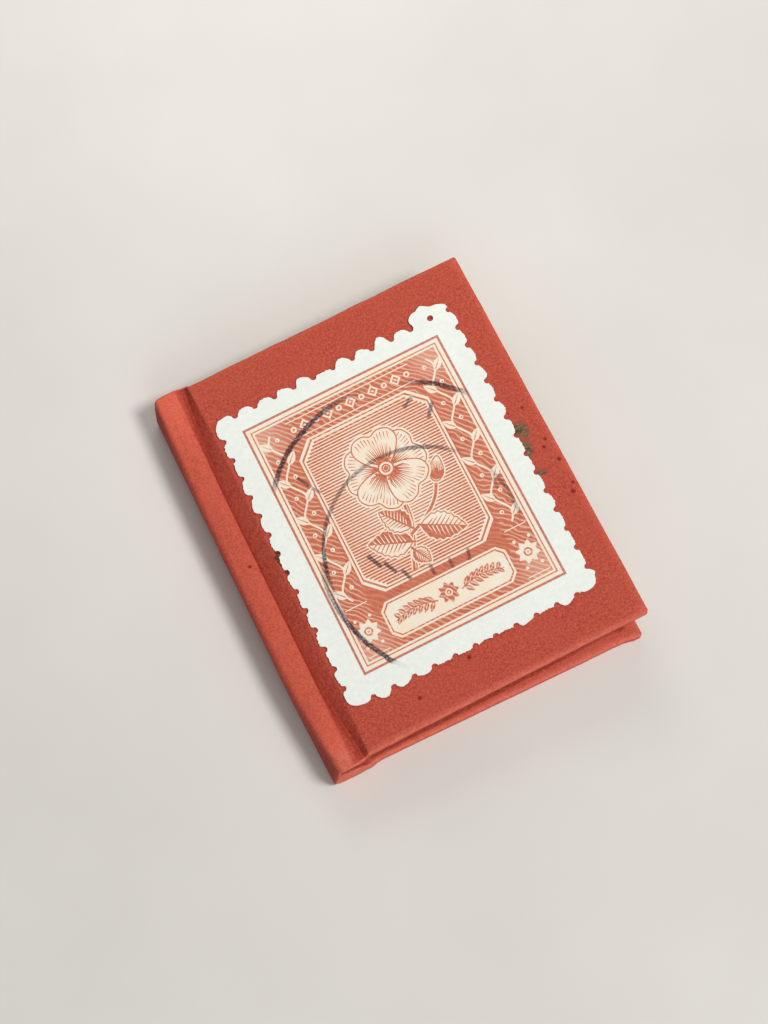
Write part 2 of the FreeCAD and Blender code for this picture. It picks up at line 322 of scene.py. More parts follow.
def grey_card():
    f = Finish("grey_card", 0.85, 0.2)
    p = f.attr("shut")
    n = f.noise(p, 2.4, 4.0, 0.65)
    flock = f.noise(p, 9.0, 2.0, 0.5)
    col = f.ramp(n, [(0.3, srgb(128, 118, 104)), (0.55, srgb(150, 140, 124)), (0.75, srgb(170, 160, 144))])
    f.colour(f.mix(f.span(flock, 0.6, 0.75, 0.0, 0.5), col, srgb(96, 90, 84)))
    f.rough(f.span(n, 0.2, 0.8, 0.75, 0.95))
    f.normal(f.bump(flock, 0.4, 0.00003))
    return f.m


def end_paper():
    """Cream endpaper with faint laid lines."""
    f = Finish("end_paper", 0.78, 0.25)
    p = f.attr("shut")
    n = f.noise(p, 1.7, 4.0, 0.6)
    broad = f.noise(p, 0.25, 2.0)
    xyz = f.split(p)
    laid = f.math("SINE", f.math("MULTIPLY", xyz[1], 11.0))
    col = f.ramp(n, [(0.3, srgb(226, 214, 190)), (0.55, srgb(236, 226, 204)), (0.75, srgb(243, 235, 216))])
    col = f.mix(f.span(broad, 0.45, 0.7, 0.0, 0.45), col, srgb(222, 206, 176))
    col = f.mix(f.span(laid, 0.5, 1.0, 0.0, 0.18), col, srgb(206, 192, 164))
    f.colour(col)
    f.rough(f.span(n, 0.2, 0.8, 0.7, 0.9))
    f.normal(f.bump(f.math("ADD", n, f.math("MULTIPLY", laid, 0.12)), 0.35, 0.00002))
    return f.m


def leaf_paper():
    """Ivory album leaf, with a thin printed border and rows of empty boxes on both faces."""
    f = Finish("leaf_paper", 0.76, 0.25)
    p = f.attr("shut")
    n = f.noise(p, 2.0, 4.0, 0.6)
    broad = f.noise(p, 0.3, 2.0)
    col = f.ramp(n, [(0.3, srgb(232, 224, 204)), (0.55, srgb(240, 233, 216)), (0.75, srgb(246, 241, 227))])
    col = f.mix(f.span(broad, 0.45, 0.7, 0.0, 0.4), col, srgb(229, 216, 188))
    x, y, z = f.split(p)
    # distance to the nearest line of a three by four grid of boxes
    u = f.math("ABSOLUTE", f.math("SUBTRACT", x, 13.2))
    v = f.math("ABSOLUTE", f.math("SUBTRACT", y, 15.35))
    u3 = f.math("ABSOLUTE", f.math("SUBTRACT", f.math("PINGPONG", f.math("ADD", f.math("SUBTRACT", x, 13.2), 3.0), 3.0), 0.45))
    v4 = f.math("ABSOLUTE", f.math("SUBTRACT", f.math("PINGPONG", f.math("SUBTRACT", y, 15.35), 3.0), 0.45))
    inside = f.math("MULTIPLY", f.span(u, 9.02, 8.98), f.span(v, 12.02, 11.98))
    in_u = f.span(f.math("PINGPONG", f.math("ADD", f.math("SUBTRACT", x, 13.2), 3.0), 3.0), 0.41, 0.45)
    in_v = f.span(f.math("PINGPONG", f.math("SUBTRACT", y, 15.35), 3.0), 0.41, 0.45)
    line = f.math("MAXIMUM", f.math("MULTIPLY", f.span(u3, 0.055, 0.03), in_v), f.math("MULTIPLY", f.span(v4, 0.055, 0.03), in_u))
    line = f.math("MULTIPLY", line, inside)
    rim = f.math("MAXIMUM", f.math("SUBTRACT", u, 9.6), f.math("SUBTRACT", v, 12.6))
    rim = f.span(f.math("ABSOLUTE", rim), 0.06, 0.03)
    line = f.math("MULTIPLY", f.math("MAXIMUM", line, rim), f.span(f.noise(p, 4.0, 2.0), 0.25, 0.6, 0.45, 0.8))
    f.colour(f.mix(line, col, srgb(120, 108, 98)))
    f.rough(f.span(n, 0.2, 0.8, 0.68, 0.88))
    f.normal(f.bump(n, 0.35, 0.00002))
    return f.m


def lining_paper():
    f = Finish("lining_paper", 0.85, 0.2)
    p = f.scaled(f.node("ShaderNodeTexCoord").outputs["Object"], (1000, 1000, 1000))
    n = f.noise(p, 2.2, 4.0, 0.65)
    weave = f.noise(f.scaled(p, (6, 1, 6)), 2.0, 3.0, 0.6)
    col = f.ramp(n, [(0.3, srgb(196, 178, 142)), (0.7, srgb(222, 206, 172))])
    f.colour(f.mix(f.span(weave, 0.5, 0.7, 0.0, 0.4), col, srgb(178, 158, 120)))
    f.rough(f.span(n, 0.2, 0.8, 0.75, 0.95))
    f.normal(f.bump(weave, 0.4, 0.00003))
    return f.m


def dried_glue():
    """Yellow-brown paste, glossy where it pooled and dull where it soaked in."""
    f = Finish("dried_glue", 0.4, 0.45)
    p = f.scaled(f.node("ShaderNodeTexCoord").outputs["Object"], (1000, 1000, 1000))
    n = f.noise(p, 3.0, 4.0, 0.6)
    pool = f.noise(p, 1.1, 2.0)
    col = f.ramp(n, [(0.3, srgb(88, 70, 40)), (0.52, srgb(122, 104, 64)), (0.75, srgb(150, 122, 82))])
    f.colour(f.mix(f.span(pool, 0.45, 0.65, 0.0, 0.5), col, srgb(136, 74, 52)))
    f.rough(f.span(n, 0.25, 0.75, 0.32, 0.68))
    f.normal(f.bump(n, 0.6, 0.00005))
    return f.m


def paste_smear():
    """Brown paste dried in streaks, thin enough in places for the red to show."""
    f = Finish("paste_smear", 0.5, 0.4)
    p = f.attr("shut")
    n = f.noise(p, 4.0, 4.0, 0.65)
    streak = f.noise(f.scaled(p, (1.0, 4.5, 1.0), turn=(0, 0, -0.35)), 1.6, 3.0, 0.6, 0.8)
    thin = f.attr("wear", "Fac")
    col = f.ramp(streak, [(0.34, srgb(70, 44, 26)), (0.48, srgb(112, 82, 54)), (0.66, srgb(150, 114, 78))])
    col = f.mix(f.span(n, 0.45, 0.7, 0.0, 0.5), col, srgb(98, 72, 46))
    bare = f.math("MULTIPLY", f.span(f.math("ADD", thin, f.math("MULTIPLY", f.math("SUBTRACT", n, 0.5), 1.1)), 0.62, 0.90), 0.9)
    col = f.mix(bare, col, srgb(172, 70, 56))
    f.colour(col)
    f.rough(f.span(n, 0.25, 0.75, 0.45, 0.8))
    f.normal(f.bump(f.math("ADD", n, streak), 0.6, 0.00004))
    return f.m


def postmark(f, col):
    """Lays a worn double-ring cancel over a colour: dark blue-black ink, heavy in places and
    missing in others. It reads the print's own flat coordinates."""
    art = f.attr("art")
    wave = f.noise(art, 0.35, 2.0)
    dab = f.noise(art, 2.2, 3.0, 0.6)
    speck = f.noise(art, 6.5, 2.0, 0.6)
    total = None

    def add(v):
        nonlocal total
        total = v if total is None else f.math("MAXIMUM", total, v)

    def ring(cx, cy, r, half, stops):
        v = f.vmath("SUBTRACT", art, (cx, cy, 0))
        x, y, _ = f.split(v)
        d = f.vmath("LENGTH", v)
        off = f.math("ABSOLUTE", f.math("SUBTRACT", f.math("ADD", d, f.math("MULTIPLY", wave, 0.30)), r + 0.15))
        body = f.math("SUBTRACT", off, f.math("MULTIPLY", f.math("SUBTRACT", dab, 0.5), half * 1.3))
        band = f.span(body, half + 0.05, half - 0.07)
        a = f.math("DIVIDE", f.math("ARCTAN2", y, x), 2 * math.pi)
        a = f.math("FRACT", f.math("ADD", a, 1.0))
        dens = f.ramp(a, [(p / 360.0, (g, g, g, 1)) for p, g in stops])
        add(f.math("MULTIPLY", band, dens))

    # angles in degrees, anticlockwise from the right
    ring(0.0, -1.0, 9.95, 0.19, [(0, 0.0), (35, 0.0), (41, 0.75), (50, 1.0), (58, 0.95), (63, 0.3), (70, 0.0), (86, 0.1), (95, 0.7), (106, 1.0), (134, 1.0), (140, 0.7), (145, 0.0), (359, 0.0)])
    ring(2.2, -4.4, 9.8, 0.19, [(0, 0.0), (160, 0.0), (170, 0.6), (184, 0.8), (194, 1.0), (214, 1.0), (219, 0.6), (224, 0.0), (359, 0.0)])
    ring(0.0, -3.5, 7.2, 0.15, [(0, 0.5), (14, 0.65), (24, 0.1), (40, 0.1), (50, 0.6), (66, 0.85), (84, 0.6), (98, 0.55), (112, 0.7), (130, 0.6), (150, 0.85), (168, 1.0), (178, 0.6), (186, 0.0), (345, 0.0), (352, 0.4), (359, 0.5)])

    def dash(cx, cy, angle, length, half, dens):
        v = f.scaled(f.vmath("SUBTRACT", art, (cx, cy, 0)), (1, 1, 1), turn=(0, 0, -angle))
        x, y, _ = f.split(v)
        a = f.span(f.math("ABSOLUTE", x), length / 2, length / 2 - 0.2)
        b = f.span(f.math("SUBTRACT", f.math("ABSOLUTE", y), f.math("MULTIPLY", f.math("SUBTRACT", dab, 0.5), half)), half + 0.04, half - 0.06)
        add(f.math("MULTIPLY", f.math("MULTIPLY", a, b), dens))

    for x, y, t, n, h, g in ((-5.7, 4.6, 2.05, 1.3, 0.14, 0.8), (-5.1, 3.6, 2.2, 1.0, 0.13, 0.6), (4.9, 5.2, 0.9, 1.4, 0.15, 0.75), (3.7, 6.5, 0.5, 1.2, 0.14, 0.7),
                             (-3.7, -3.1, 2.0, 1.5, 0.15, 0.9), (-2.9, -4.0, 2.0, 1.4, 0.14, 0.85), (-2.1, -5.0, 1.9, 1.2, 0.14, 0.8), (-0.3, -5.5, 1.6, 1.1, 0.13, 0.7),
                             (1.1, -5.7, 1.5, 1.0, 0.13, 0.6), (2.5, -5.7, 1.3, 1.1, 0.13, 0.7), (6.6, -1.9, 1.5, 1.1, 0.13, 0.45)):
        dash(x, y, t, n, h, g)
    ax, ay, _ = f.split(art)
    held = f.math("MULTIPLY", f.span(f.math("ABSOLUTE", ax), 8.2, 7.9, 0.25, 1.0), f.span(f.math("ABSOLUTE", ay), 10.4, 10.1, 0.25, 1.0))
    ink = f.math("MULTIPLY", f.math("MULTIPLY", total, held), f.span(speck, 0.26, 0.55, 0.45, 1.0))
    ink = f.math("MULTIPLY", ink, 0.94, clamp=True)
    tone = f.mix(f.span(wave, 0.4, 0.6), srgb(70, 54, 80), srgb(60, 60, 110))
    return f.mix(ink, col, f.mix(1.0, col, tone, "MULTIPLY"))


def stamp_paper():
    """White unsized paper, toned cream under the print."""
    f = Finish("stamp_paper", 0.72, 0.25)
    p = f.attr("shut")
    art = f.attr("art")
    n = f.noise(p, 3.0, 4.0, 0.6)
    soft = f.noise(p, 0.35, 2.0)
    col = f.ramp(n, [(0.3, srgb(236, 241, 234)), (0.55, srgb(243, 247, 240)), (0.75, srgb(249, 251, 246))])
    col = f.mix(f.span(soft, 0.4, 0.7, 0.0, 0.35), col, srgb(234, 240, 236))
    x, y, _ = f.split(art)
    inside = f.math("MULTIPLY", f.span(f.math("ABSOLUTE", x), 8.1, 7.7), f.span(f.math("ABSOLUTE", y), 10.3, 9.9))
    tint = f.span(f.noise(p, 0.8, 3.0), 0.3, 0.7, 0.55, 0.95)
    col = f.mix(f.math("MULTIPLY", inside, tint), col, srgb(250, 229, 202))
    f.colour(postmark(f, col))
    f.rough(f.span(n, 0.2, 0.8, 0.62, 0.85))
    fibre = f.noise(f.scaled(p, (1.0, 2.4, 1.0), turn=(0, 0, 0.9)), 4.0, 3.0, 0.6, 0.5)
    f.normal(f.bump(f.math("ADD", n, fibre), 0.3, 0.00002))
    return f.m


def print_ink():
    """Orange-red engraving ink, a little uneven in weight."""
    f = Finish("print_ink", 0.62, 0.3)
    p = f.attr("shut")
    art = f.attr("art")
    n = f.noise(p, 2.6, 4.0, 0.65)
    broad = f.noise(p, 0.3, 2.0)
    col = f.ramp(n, [(0.28, srgb(188, 92, 66)), (0.5, srgb(203, 110, 82)), (0.74, srgb(219, 134, 106))])
    col = f.mix(f.span(broad, 0.35, 0.65, 0.0, 0.5), col, srgb(209, 117, 86))
    x, y, _ = f.split(art)
    rim = f.math("MAXIMUM", f.span(f.math("ABSOLUTE", x), 7.3, 7.6), f.span(f.math("ABSOLUTE", y), 9.5, 9.8))
    col = f.mix(f.math("MULTIPLY", rim, 0.75), col, srgb(196, 124, 110))
    # the four corners are printed lighter
    corner = f.math("MULTIPLY", f.span(f.math("ABSOLUTE", x), 4.4, 6.6), f.span(f.math("ABSOLUTE", y), 6.2, 8.8))
    corner = f.math("MULTIPLY", corner, f.math("SUBTRACT", 1.0, rim))
    col = f.mix(f.math("MULTIPLY", corner, 0.6), col, srgb(230, 172, 150))
    # fine engraved lines in the border's ground, and fainter ones elsewhere
    sway = f.math("MULTIPLY", f.noise(art, 0.5, 2.0), 1.2)
    hatch = f.math("PINGPONG", f.math("ADD", f.math("ADD", f.math("MULTIPLY", x, 0.72), f.math("MULTIPLY", y, 0.69)), sway), 0.17)
    border = f.math("MAXIMUM", f.span(f.math("ABSOLUTE", x), 5.2, 5.6), f.span(f.math("ABSOLUTE", y), 6.6, 7.0))
    border = f.math("MULTIPLY", border, f.math("SUBTRACT", 1.0, rim))
    faint = f.math("MULTIPLY", f.span(hatch, 0.085, 0.02), f.span(border, 0.0, 1.0, 0.15, 0.62))
    col = f.mix(f.math("MULTIPLY", faint, f.span(n, 0.3, 0.65, 1.0, 0.7)), col, srgb(248, 218, 190))
    f.colour(postmark(f, col))
    f.rough(f.span(n, 0.2, 0.8, 0.5, 0.75))
    f.normal(f.bump(n, 0.3, 0.00001))
    return f.m


RED = red_paper()
CARD = grey_card()
ENDS = end_paper()
LEAF = leaf_paper()
LINING = lining_paper()
GLUE = dried_glue()
SMEAR = paste_smear()
STAMP = stamp_paper()
INK = print_ink()


# ------------------------------------------------------------------ the red covering
def section(corners, counts):
    """Points along straight runs joined by arcs. The counts fix how many points each run and each arc
    gets, so that sections match point by point. The second list says where a point is: n on the arc of
    corner n, n + 0.5 on the run after it."""
    c = np.array([k[:2] for k in corners], float)
    out, tag = [], []
    last = c[0]
    for i in range(1, len(c)):
        d = c[i] - c[i - 1]
        d /= np.linalg.norm(d)
        if i < len(c) - 1:
            e = c[i + 1] - c[i]
            e /= np.linalg.norm(e)
            bend = math.acos(np.clip(d @ e, -1, 1))
            cut = corners[i][2] * math.tan(bend / 2)
        else:
            e, bend, cut = d, 0.0, 0.0
        stop = c[i] - d * cut
        n = counts[2 * i - 2]
        for k in range(n):
            out.append(last + (stop - last) * k / n)
            tag.append(i - 0.5)
        if i < len(c) - 1:
            n = counts[2 * i - 1]
            side = 1.0 if d[0] * e[1] - d[1] * e[0] > 0 else -1.0
            mid = stop + corners[i][2] * side * np.array([-d[1], d[0]])
            for k in range(n):
                a = side * bend * k / n
                arm = stop - mid
                out.append(mid + np.array([arm[0] * math.cos(a) - arm[1] * math.sin(a), arm[0] * math.sin(a) + arm[1] * math.cos(a)]))
                tag.append(float(i))
        last = c[i] + e * cut
    out.append(last)
    tag.append(len(c) - 1.5)
    return np.array(out), np.array(tag)


# Half the spine's wall, the ridge, the groove and the board's edge, as (x, z, rounding), from the line on the
# spine's wall where the two halves meet. The wall leans in at the head and the tail, where the paper is
# folded tight, and bulges between; the groove is deep at the ends and shallow between.
FLAT_X = 3.65
SEAM_Z = 2.45
COUNTS = [9, 7, 9, 6, 4, 5, 4, 5, 6, 6, 3]
MID_CUT = [(0.00, SEAM_Z, 0), (0.00, 3.26, 0.55), (1.96, 3.27, 0.14), (2.00, 2.82, 0.05), (2.14, 2.84, 0.10), (3.30, 3.30, 0.50), (FLAT_X, 3.30, 0)]
HEAD_CUT = [(0.30, SEAM_Z, 0), (0.38, 3.27, 0.34), (2.05, 3.29, 0.30), (2.50, 3.02, 0.07), (2.80, 2.95, 0.14), (3.08, 3.30, 0.16), (FLAT_X, 3.30, 0)]
TAIL_CUT = [(0.57, SEAM_Z, 0), (0.74, 3.27, 0.42), (1.95, 3.28, 0.30), (2.52, 3.00, 0.07), (2.86, 2.92, 0.15), (3.14, 3.30, 0.16), (FLAT_X, 3.30, 0)]
EDGE_R = 0.17           # rounding of a covered board's edge
CORNER_R = 0.20         # rounding of a board's corner in plan
TURN_IN = 2.60
TURN_AT = (0.05, 0.10, 0.15, 0.20, 0.25, 0.30, 0.36, 0.50, 0.75, 1.0)   # rings along the turned-in border


def end_weights(y):
    """How far the section at a height along the spine has turned into those of the head and the tail."""
    y = np.asarray(y, float)
    return np.clip((y - 20.0) / 10.7, 0, 1) ** 1.7, np.clip((8.7 - y) / 8.5, 0, 1) ** 1.6


def back_skew(p):
    """The back cover sits a little askew: its fore-edge comes in towards the tail."""
    q = np.array(p, float)
    q[:, 0] -= 0.27 * smooth((q[:, 0] - 6.0) / 18.0) * (1 - smooth(q[:, 1] / 14.0))
    return q


def cover_wrap(name, front):
    """One side of the covering: part of the spine's wall, the ridge, the groove, the board's face and edges,
    and the turned-in border inside. The paper is a thin closed shell."""
    cuts = [list(MID_CUT), list(HEAD_CUT), list(TAIL_CUT)]
    if not front:
        for c, foot in zip(cuts, (0.04, 0.04, 0.14)):
            c[0] = (c[0][0], THICK - SEAM_Z, 0)
            c[1] = (foot, c[1][1], c[1][2])
    (mid, tags), (head, _), (tail, _) = [section(c, COUNTS) for c in cuts]
    n_path = len(mid)
    block = CORNER_R - EDGE_R
    xs = np.linspace(FLAT_X, FORE_X - EDGE_R - block, 54)[1:]
    xs = np.concatenate([xs, FORE_X - EDGE_R - block * (1 - np.arange(1, 5) / 4)])
    slab = np.stack([xs, np.full(len(xs), THICK)], 1)
    mid, head, tail = [np.concatenate([p, slab]) for p in (mid, head, tail)]
    tags = np.concatenate([tags, np.full(len(xs), 9.0)])
    nu = len(tags)
    for p in (mid, head, tail):      # a slight crown on the ridge
        t = np.clip((p[:, 0] - p[np.argmax(tags >= 1.5), 0]) / 1.2, 0, 1)
        p[:, 1] += 0.03 * np.sin(np.pi * t) * (tags == 1.5)

    def cut_at(y):
        """The section at a height along the spine."""
        a, b = end_weights(y)
        return mid + (head - mid) * a + (tail - mid) * b

    first = {t: int(np.argmax(tags >= t)) for t in (1.0, 1.5, 2.0, 2.5, 3.0, 4.0)}

    def inner_line(S):
        """Where the folded end of the sheet reaches, below each point of a section."""
        xm, xc, xr = S[0, 0], S[first[1.0], 0], S[first[2.0], 0]
        x3, x4 = S[first[3.0], 0], S[first[4.0], 0]
        keys = [0, first[1.0], first[1.5], first[2.0], first[3.0], first[4.0], n_path - 1]
        if front:
            spots = [(xm + 0.38, SEAM_Z), (xc + 0.40, 2.58), (xc + 0.55, 2.62), (xr - 0.05, 2.62), (x3, 2.22), (x4, 2.12), (FLAT_X, THICK - BOARD)]
        else:
            spots = [(xm + 0.38, THICK - SEAM_Z), (1.02, 0.98), (1.12, 1.00), (xr - 0.05, 1.00), (x3, 1.20), (x4, 1.50), (FLAT_X, THICK - BOARD)]
        Q = S.copy()
        Q[:, 1] = THICK - BOARD
        run = np.concatenate([[0], np.cumsum(np.linalg.norm(np.diff(S, axis=0), axis=1))])
        for (a, b), (p, q) in zip(zip(keys[:-1], keys[1:]), zip(spots[:-1], spots[1:])):
            t = ((run[a:b + 1] - run[a]) / (run[b] - run[a]))[:, None]
            Q[a:b + 1] = np.array(p) * (1 - t) + np.array(q) * t
        return Q

    g = np.zeros(nu)
    g[first[4.0]:n_path] = np.linspace(0, 1, n_path - first[4.0])
    g[n_path:] = 1.0
    gs = smooth(g)
    lipped = np.clip((np.arange(nu) - first[1.0]) / (first[1.5] - first[1.0]), 0, 1)
    R = (0.15 + 0.02 * smooth(lipped)) * (1 - gs) + EDGE_R * gs
    A = 0.55 + (TURN_IN - 0.55) * gs
    # the ends of the sheet: the two covers sit a little askew, so the spine's ends slant between them
    own = FRONT_Y if front else BACK_Y
    start = SEAM_Z if front else THICK - SEAM_Z
    up = smooth((mid[:, 1] - start) / (0.75 if front else 2.3))
    up = np.where(np.arange(nu) < first[1.5], up, 1.0)
    over = np.clip((mid[:, 0] - JOINT_X) / (FORE_X - JOINT_X), 0, 1)
    if front:
        tail_end = np.interp(tail[:, 0], [1.8, 2.3, 2.8, 3.2], [-0.12, -0.06, 0.06, 0.19]) + (own[0] - 0.23) * (1 - (1 - over) ** 2) * (over > 0)
        head_end = np.interp(head[:, 0], [1.6, 2.3, 2.8, 3.2], [31.02, 31.03, 31.03, 30.79])
    else:
        tail_end = np.interp(tail[:, 0], [2.9, 3.9], [-0.20, 0.02]) - 0.02 * over - 0.15 * smooth((over - 0.925) / 0.06)
        head_end = np.interp(head[:, 0], [2.0, 3.2], [30.60, own[1]])
    y_tail = SPINE_Y[0] + (tail_end - SPINE_Y[0]) * up
    y_head = SPINE_Y[1] + (head_end - SPINE_Y[1]) * up
    # the fold draws in a little at the ridge's outer corner
    pull = np.exp(-((np.arange(nu) - first[1.0] - 3.5) / 3.0) ** 2) * 0.05
    y_tail = y_tail + pull
    y_head = y_head - pull
    ripple = wob(np.stack([mid[:, 0], np.zeros(nu), mid[:, 1]], 1), 0.5, 3.1 if front else 8.4)
    fray = wob(np.stack([mid[:, 0], np.zeros(nu), mid[:, 1]], 1), 2.1, 1.3 if front else 4.2)
    y_tail = y_tail + 0.022 * ripple + 0.014 * fray * (1 + (0 if front else 2.5 * smooth((over - 0.90) / 0.06)))
    ripple = wob(np.stack([mid[:, 0], np.full(nu, 30.0), mid[:, 1]], 1), 0.5, 5.7 if front else 1.9)
    y_head = y_head + 0.03 * ripple

    # stations across the height, closer near the ends
    span = own[1] - own[0] - 2 * EDGE_R
    even = np.linspace(0, 1, 78)
    ys = np.concatenate([block * np.arange(0, 4) / 4, block + (span - 2 * block) * (0.35 * (0.5 - 0.5 * np.cos(np.pi * even)) + 0.65 * even),
                         span - block + block * np.arange(1, 5) / 4]) / span
    nv = len(ys)

    verts, wear, painted_shade = [], [], []
    k5 = np.array([1, 2, 3, 2, 1], float) / 9

    def by_tag(table):
        """One value per station from (tag, value at its first point, value at its last)."""
        out = np.zeros(nu)
        for t, a, b in table:
            where = np.nonzero(tags == t)[0]
            out[where] = np.linspace(a, b, len(where))
        return np.convolve(np.pad(out, 2, mode="edge"), k5, "valid")

    # how rubbed each station is along the path, partly painted highlight on the ridge, and how deep the painted shade
    # lies in the groove and on the wall
    along = by_tag([(0.5, 0.0, 0.05), (1.0, 0.12, 0.42), (1.5, 0.46, 0.46), (2.0, 0.46, 0.30), (2.5, 0.1, 0.0), (5.0, 0.05, 0.12), (5.5, 0.10, 0.02)])
    painted_shade_mid = by_tag([(0.5, 0.10, 0.08), (1.0, 0.05, 0.0), (2.0, 0.0, 0.15), (2.5, 0.40, 0.75), (3.0, 0.80, 0.80), (3.5, 0.75, 0.60), (4.0, 0.50, 0.40), (4.5, 0.32, 0.14), (5.0, 0.12, 0.06), (5.5, 0.05, 0.0)])
    painted_shade_end = by_tag([(0.5, 0.45, 0.40), (1.0, 0.32, 0.0), (2.0, 0.02, 0.16), (2.5, 0.20, 0.28), (3.0, 0.42, 0.60), (3.5, 0.62, 0.60), (4.0, 0.60, 0.56), (4.5, 0.52, 0.40), (5.0, 0.28, 0.18), (5.5, 0.15, 0.04)])

    def corner(px, py, cx, cy, r, sy):
        """Rounds the corner whose arc is centred at cx, cy. px and py run from 0 to 1 across the corner's square."""
        return cx + r * px * np.sqrt(1 - py * py / 2), cy + sy * r * py * np.sqrt(1 - px * px / 2)

    # the outer face
    top = np.zeros((nu, nv), int)
    c_x = FORE_X - EDGE_R - block
    at_y = [own[0] + (own[1] - own[0]) * t for t in ys]
    cut_j = [cut_at(y) for y in at_y]
    near_end = [min(sum(end_weights(y)) * 1.25, 1.0) for y in at_y]
    for i in range(nu):
        y0, y1 = y_tail[i] + R[i], y_head[i] - R[i]
        for j in range(nv):
            x, z = cut_j[j][i]
            y = y0 + (y1 - y0) * ys[j]
            if x > c_x + 1e-9 and tags[i] == 9.0:
                px = (x - c_x) / block
                if y < y0 + block:
                    x, y = corner(px, (y0 + block - y) / block, c_x, y0 + block, block, -1)
                elif y > y1 - block:
                    x, y = corner(px, (y - y1 + block) / block, c_x, y1 - block, block, 1)
            top[i, j] = len(verts)
            verts.append((x, y, z))
            below, above = y - y_tail[i], y_head[i] - y
            rim = max(0.90 * math.exp(-((below / 0.24) ** 2)), 0.45 * math.exp(-((above / 0.26) ** 2)))
            corner_rub = 0.0
            if tags[i] == 9.0:
                rim = max(rim, 0.62 * math.exp(-(((FORE_X - x) / 0.28) ** 2)))
                corner_rub = math.exp(-(((FORE_X - x) / 0.55) ** 2 + (min(below, above) / 0.9) ** 2))
            # rubbing, with the ridge's painted highlight from the table above
            w = max(along[i], rim * (0.45 + 0.55 * gs[i]), 0.85 * corner_rub)
            # most rubbed where the ridge's ends are handled
            tail_rub = 1.1 if i < first[2.0] else 0.2
            w += along[i] * (1.9 * math.exp(-((y - 31.0) / 4.2) ** 2) + tail_rub * math.exp(-((y + 0.3) / 3.8) ** 4) - 0.2 * math.exp(-((y - 18.0) / 3.2) ** 2))
            wear.append(w)
            # painted shade on the outer face, deeper towards the head and the tail, and weaker close to the sheet's
            # ends on the spine's wall
            d = painted_shade_mid[i] + (painted_shade_end[i] - painted_shade_mid[i]) * near_end[j]
            painted_shade.append(d if i >= first[1.5] else d * (0.30 + 0.70 * smooth((min(below, above) - 0.15) / 0.55)))

    # the rings that go over the edge and turn in: inset and depth at each
    arc = np.radians(np.array([18, 36, 54, 72, 90.0]))

    def profile(r, d, a):
        ins = list(r * (1 - np.sin(arc))) + [0.0, 0.0, 0.0] + list(r * (1 - np.cos(arc)))
        dep = list(r * (1 - np.cos(arc))) + [r + (d - 2 * r) / 3, r + 2 * (d - 2 * r) / 3, d - r] + list(d - r + r * np.sin(arc))
        for t in TURN_AT:
            ins.append(r + (a - r) * t)
            dep.append(d)
        return np.array(ins), np.array(dep)

    ends = {}
    for at, S in ((False, cut_at(own[0])), (True, cut_at(own[1]))):
        Q = inner_line(S)
        D = np.linalg.norm(Q - S, axis=1)
        ends[at] = S, Q, D, [profile(R[i], D[i], A[i]) for i in range(nu)]
    K = len(ends[True][3][0][0])
    # over the rim, down the edge, round to the inside and along the turn-in: on the spine's folds and on the boards.
    # The rub tables carry rubbing together with painted highlight where edge walls and rims face the light; the other
    # tables carry painted shade low on the walls and inside the gaps.
    if front:
        rub_and_highlight_lip = [0.8, 0.9, 0.9, 0.8, 0.6, 0.35, 0.2, 0.1, 0.1, 0.1, 0.05, 0.0, 0.0]
        painted_shade_lip = [0.0, 0.0, 0.0, 0.1, 0.3, 0.5, 0.6, 0.65, 0.65, 0.65, 0.65, 0.65, 0.65]
        rub_and_highlight_slab = [0.60, 0.75, 0.95, 1.15, 1.25, 1.0, 0.5, 0.1, 0.0, 0.0, 0.0, 0.0, 0.0]
        painted_shade_slab = [0.0, 0.0, 0.0, 0.0, 0.0, 0.0, 0.0, 0.05, 0.15, 0.3, 0.4, 0.5, 0.5]
        rub_and_highlight_in, painted_shade_in = [0.0] * 10, [0.45] * 10
    else:
        # the back's lip, edge and rim are painted paler as painted highlight where they face the light, as well as
        # rubbed
        rub_and_highlight_lip = [0.4, 0.6, 0.8, 1.0, 1.2, 1.4, 1.5, 1.5, 1.4, 1.2, 0.9, 0.5, 0.1]
        painted_shade_lip = [0.2, 0.1, 0.0, 0.0, 0.0, 0.0, 0.0, 0.0, 0.0, 0.1, 0.25, 0.4, 0.5]
        rub_and_highlight_slab = [0.2, 0.25, 0.3, 0.4, 0.5, 0.6, 0.7, 0.8, 0.95, 1.05, 1.1, 1.0, 0.85]
        painted_shade_slab = [0.2, 0.1] + [0.0] * 11
        rub_and_highlight_in, painted_shade_in = [0.62, 0.38, 0.24, 0.16, 0.1, 0.05, 0.0, 0.0, 0.0, 0.0], [0.0] * 10
    rub_and_highlight_lip, rub_and_highlight_slab = rub_and_highlight_lip + [0.0] * 10, rub_and_highlight_slab + rub_and_highlight_in
    painted_shade_lip, painted_shade_slab = painted_shade_lip + [0.6] * 10, painted_shade_slab + painted_shade_in
    rings = [list(top[:, 0]) + list(top[-1, 1:]) + list(top[-2::-1, -1])]
    slab_in, slab_dep = ends[True][3][-1]
    for kk in range(K):
        a_s = slab_in[kk]
        ra = max(CORNER_R - a_s, 0.03)
        edge_x = FORE_X - a_s
        ring = []

        def station(i, at):
            S, Q, D, prof = ends[at]
            ins, dep = prof[i][0][kk], prof[i][1][kk]
            way = (Q[i] - S[i]) / D[i]
            x, z = S[i] + way * dep
            y = y_head[i] - ins if at else y_tail[i] + ins
            if tags[i] == 9.0:
                if S[i, 0] <= c_x + 1e-9:
                    x = FLAT_X + (S[i, 0] - FLAT_X) * (edge_x - ra - FLAT_X) / (c_x - FLAT_X)
                else:
                    px = (S[i, 0] - c_x) / block
                    cy = y - ra if at else y + ra
                    x, y = corner(px, 1.0, edge_x - ra, cy, ra, 1 if at else -1)
            return x, y, z

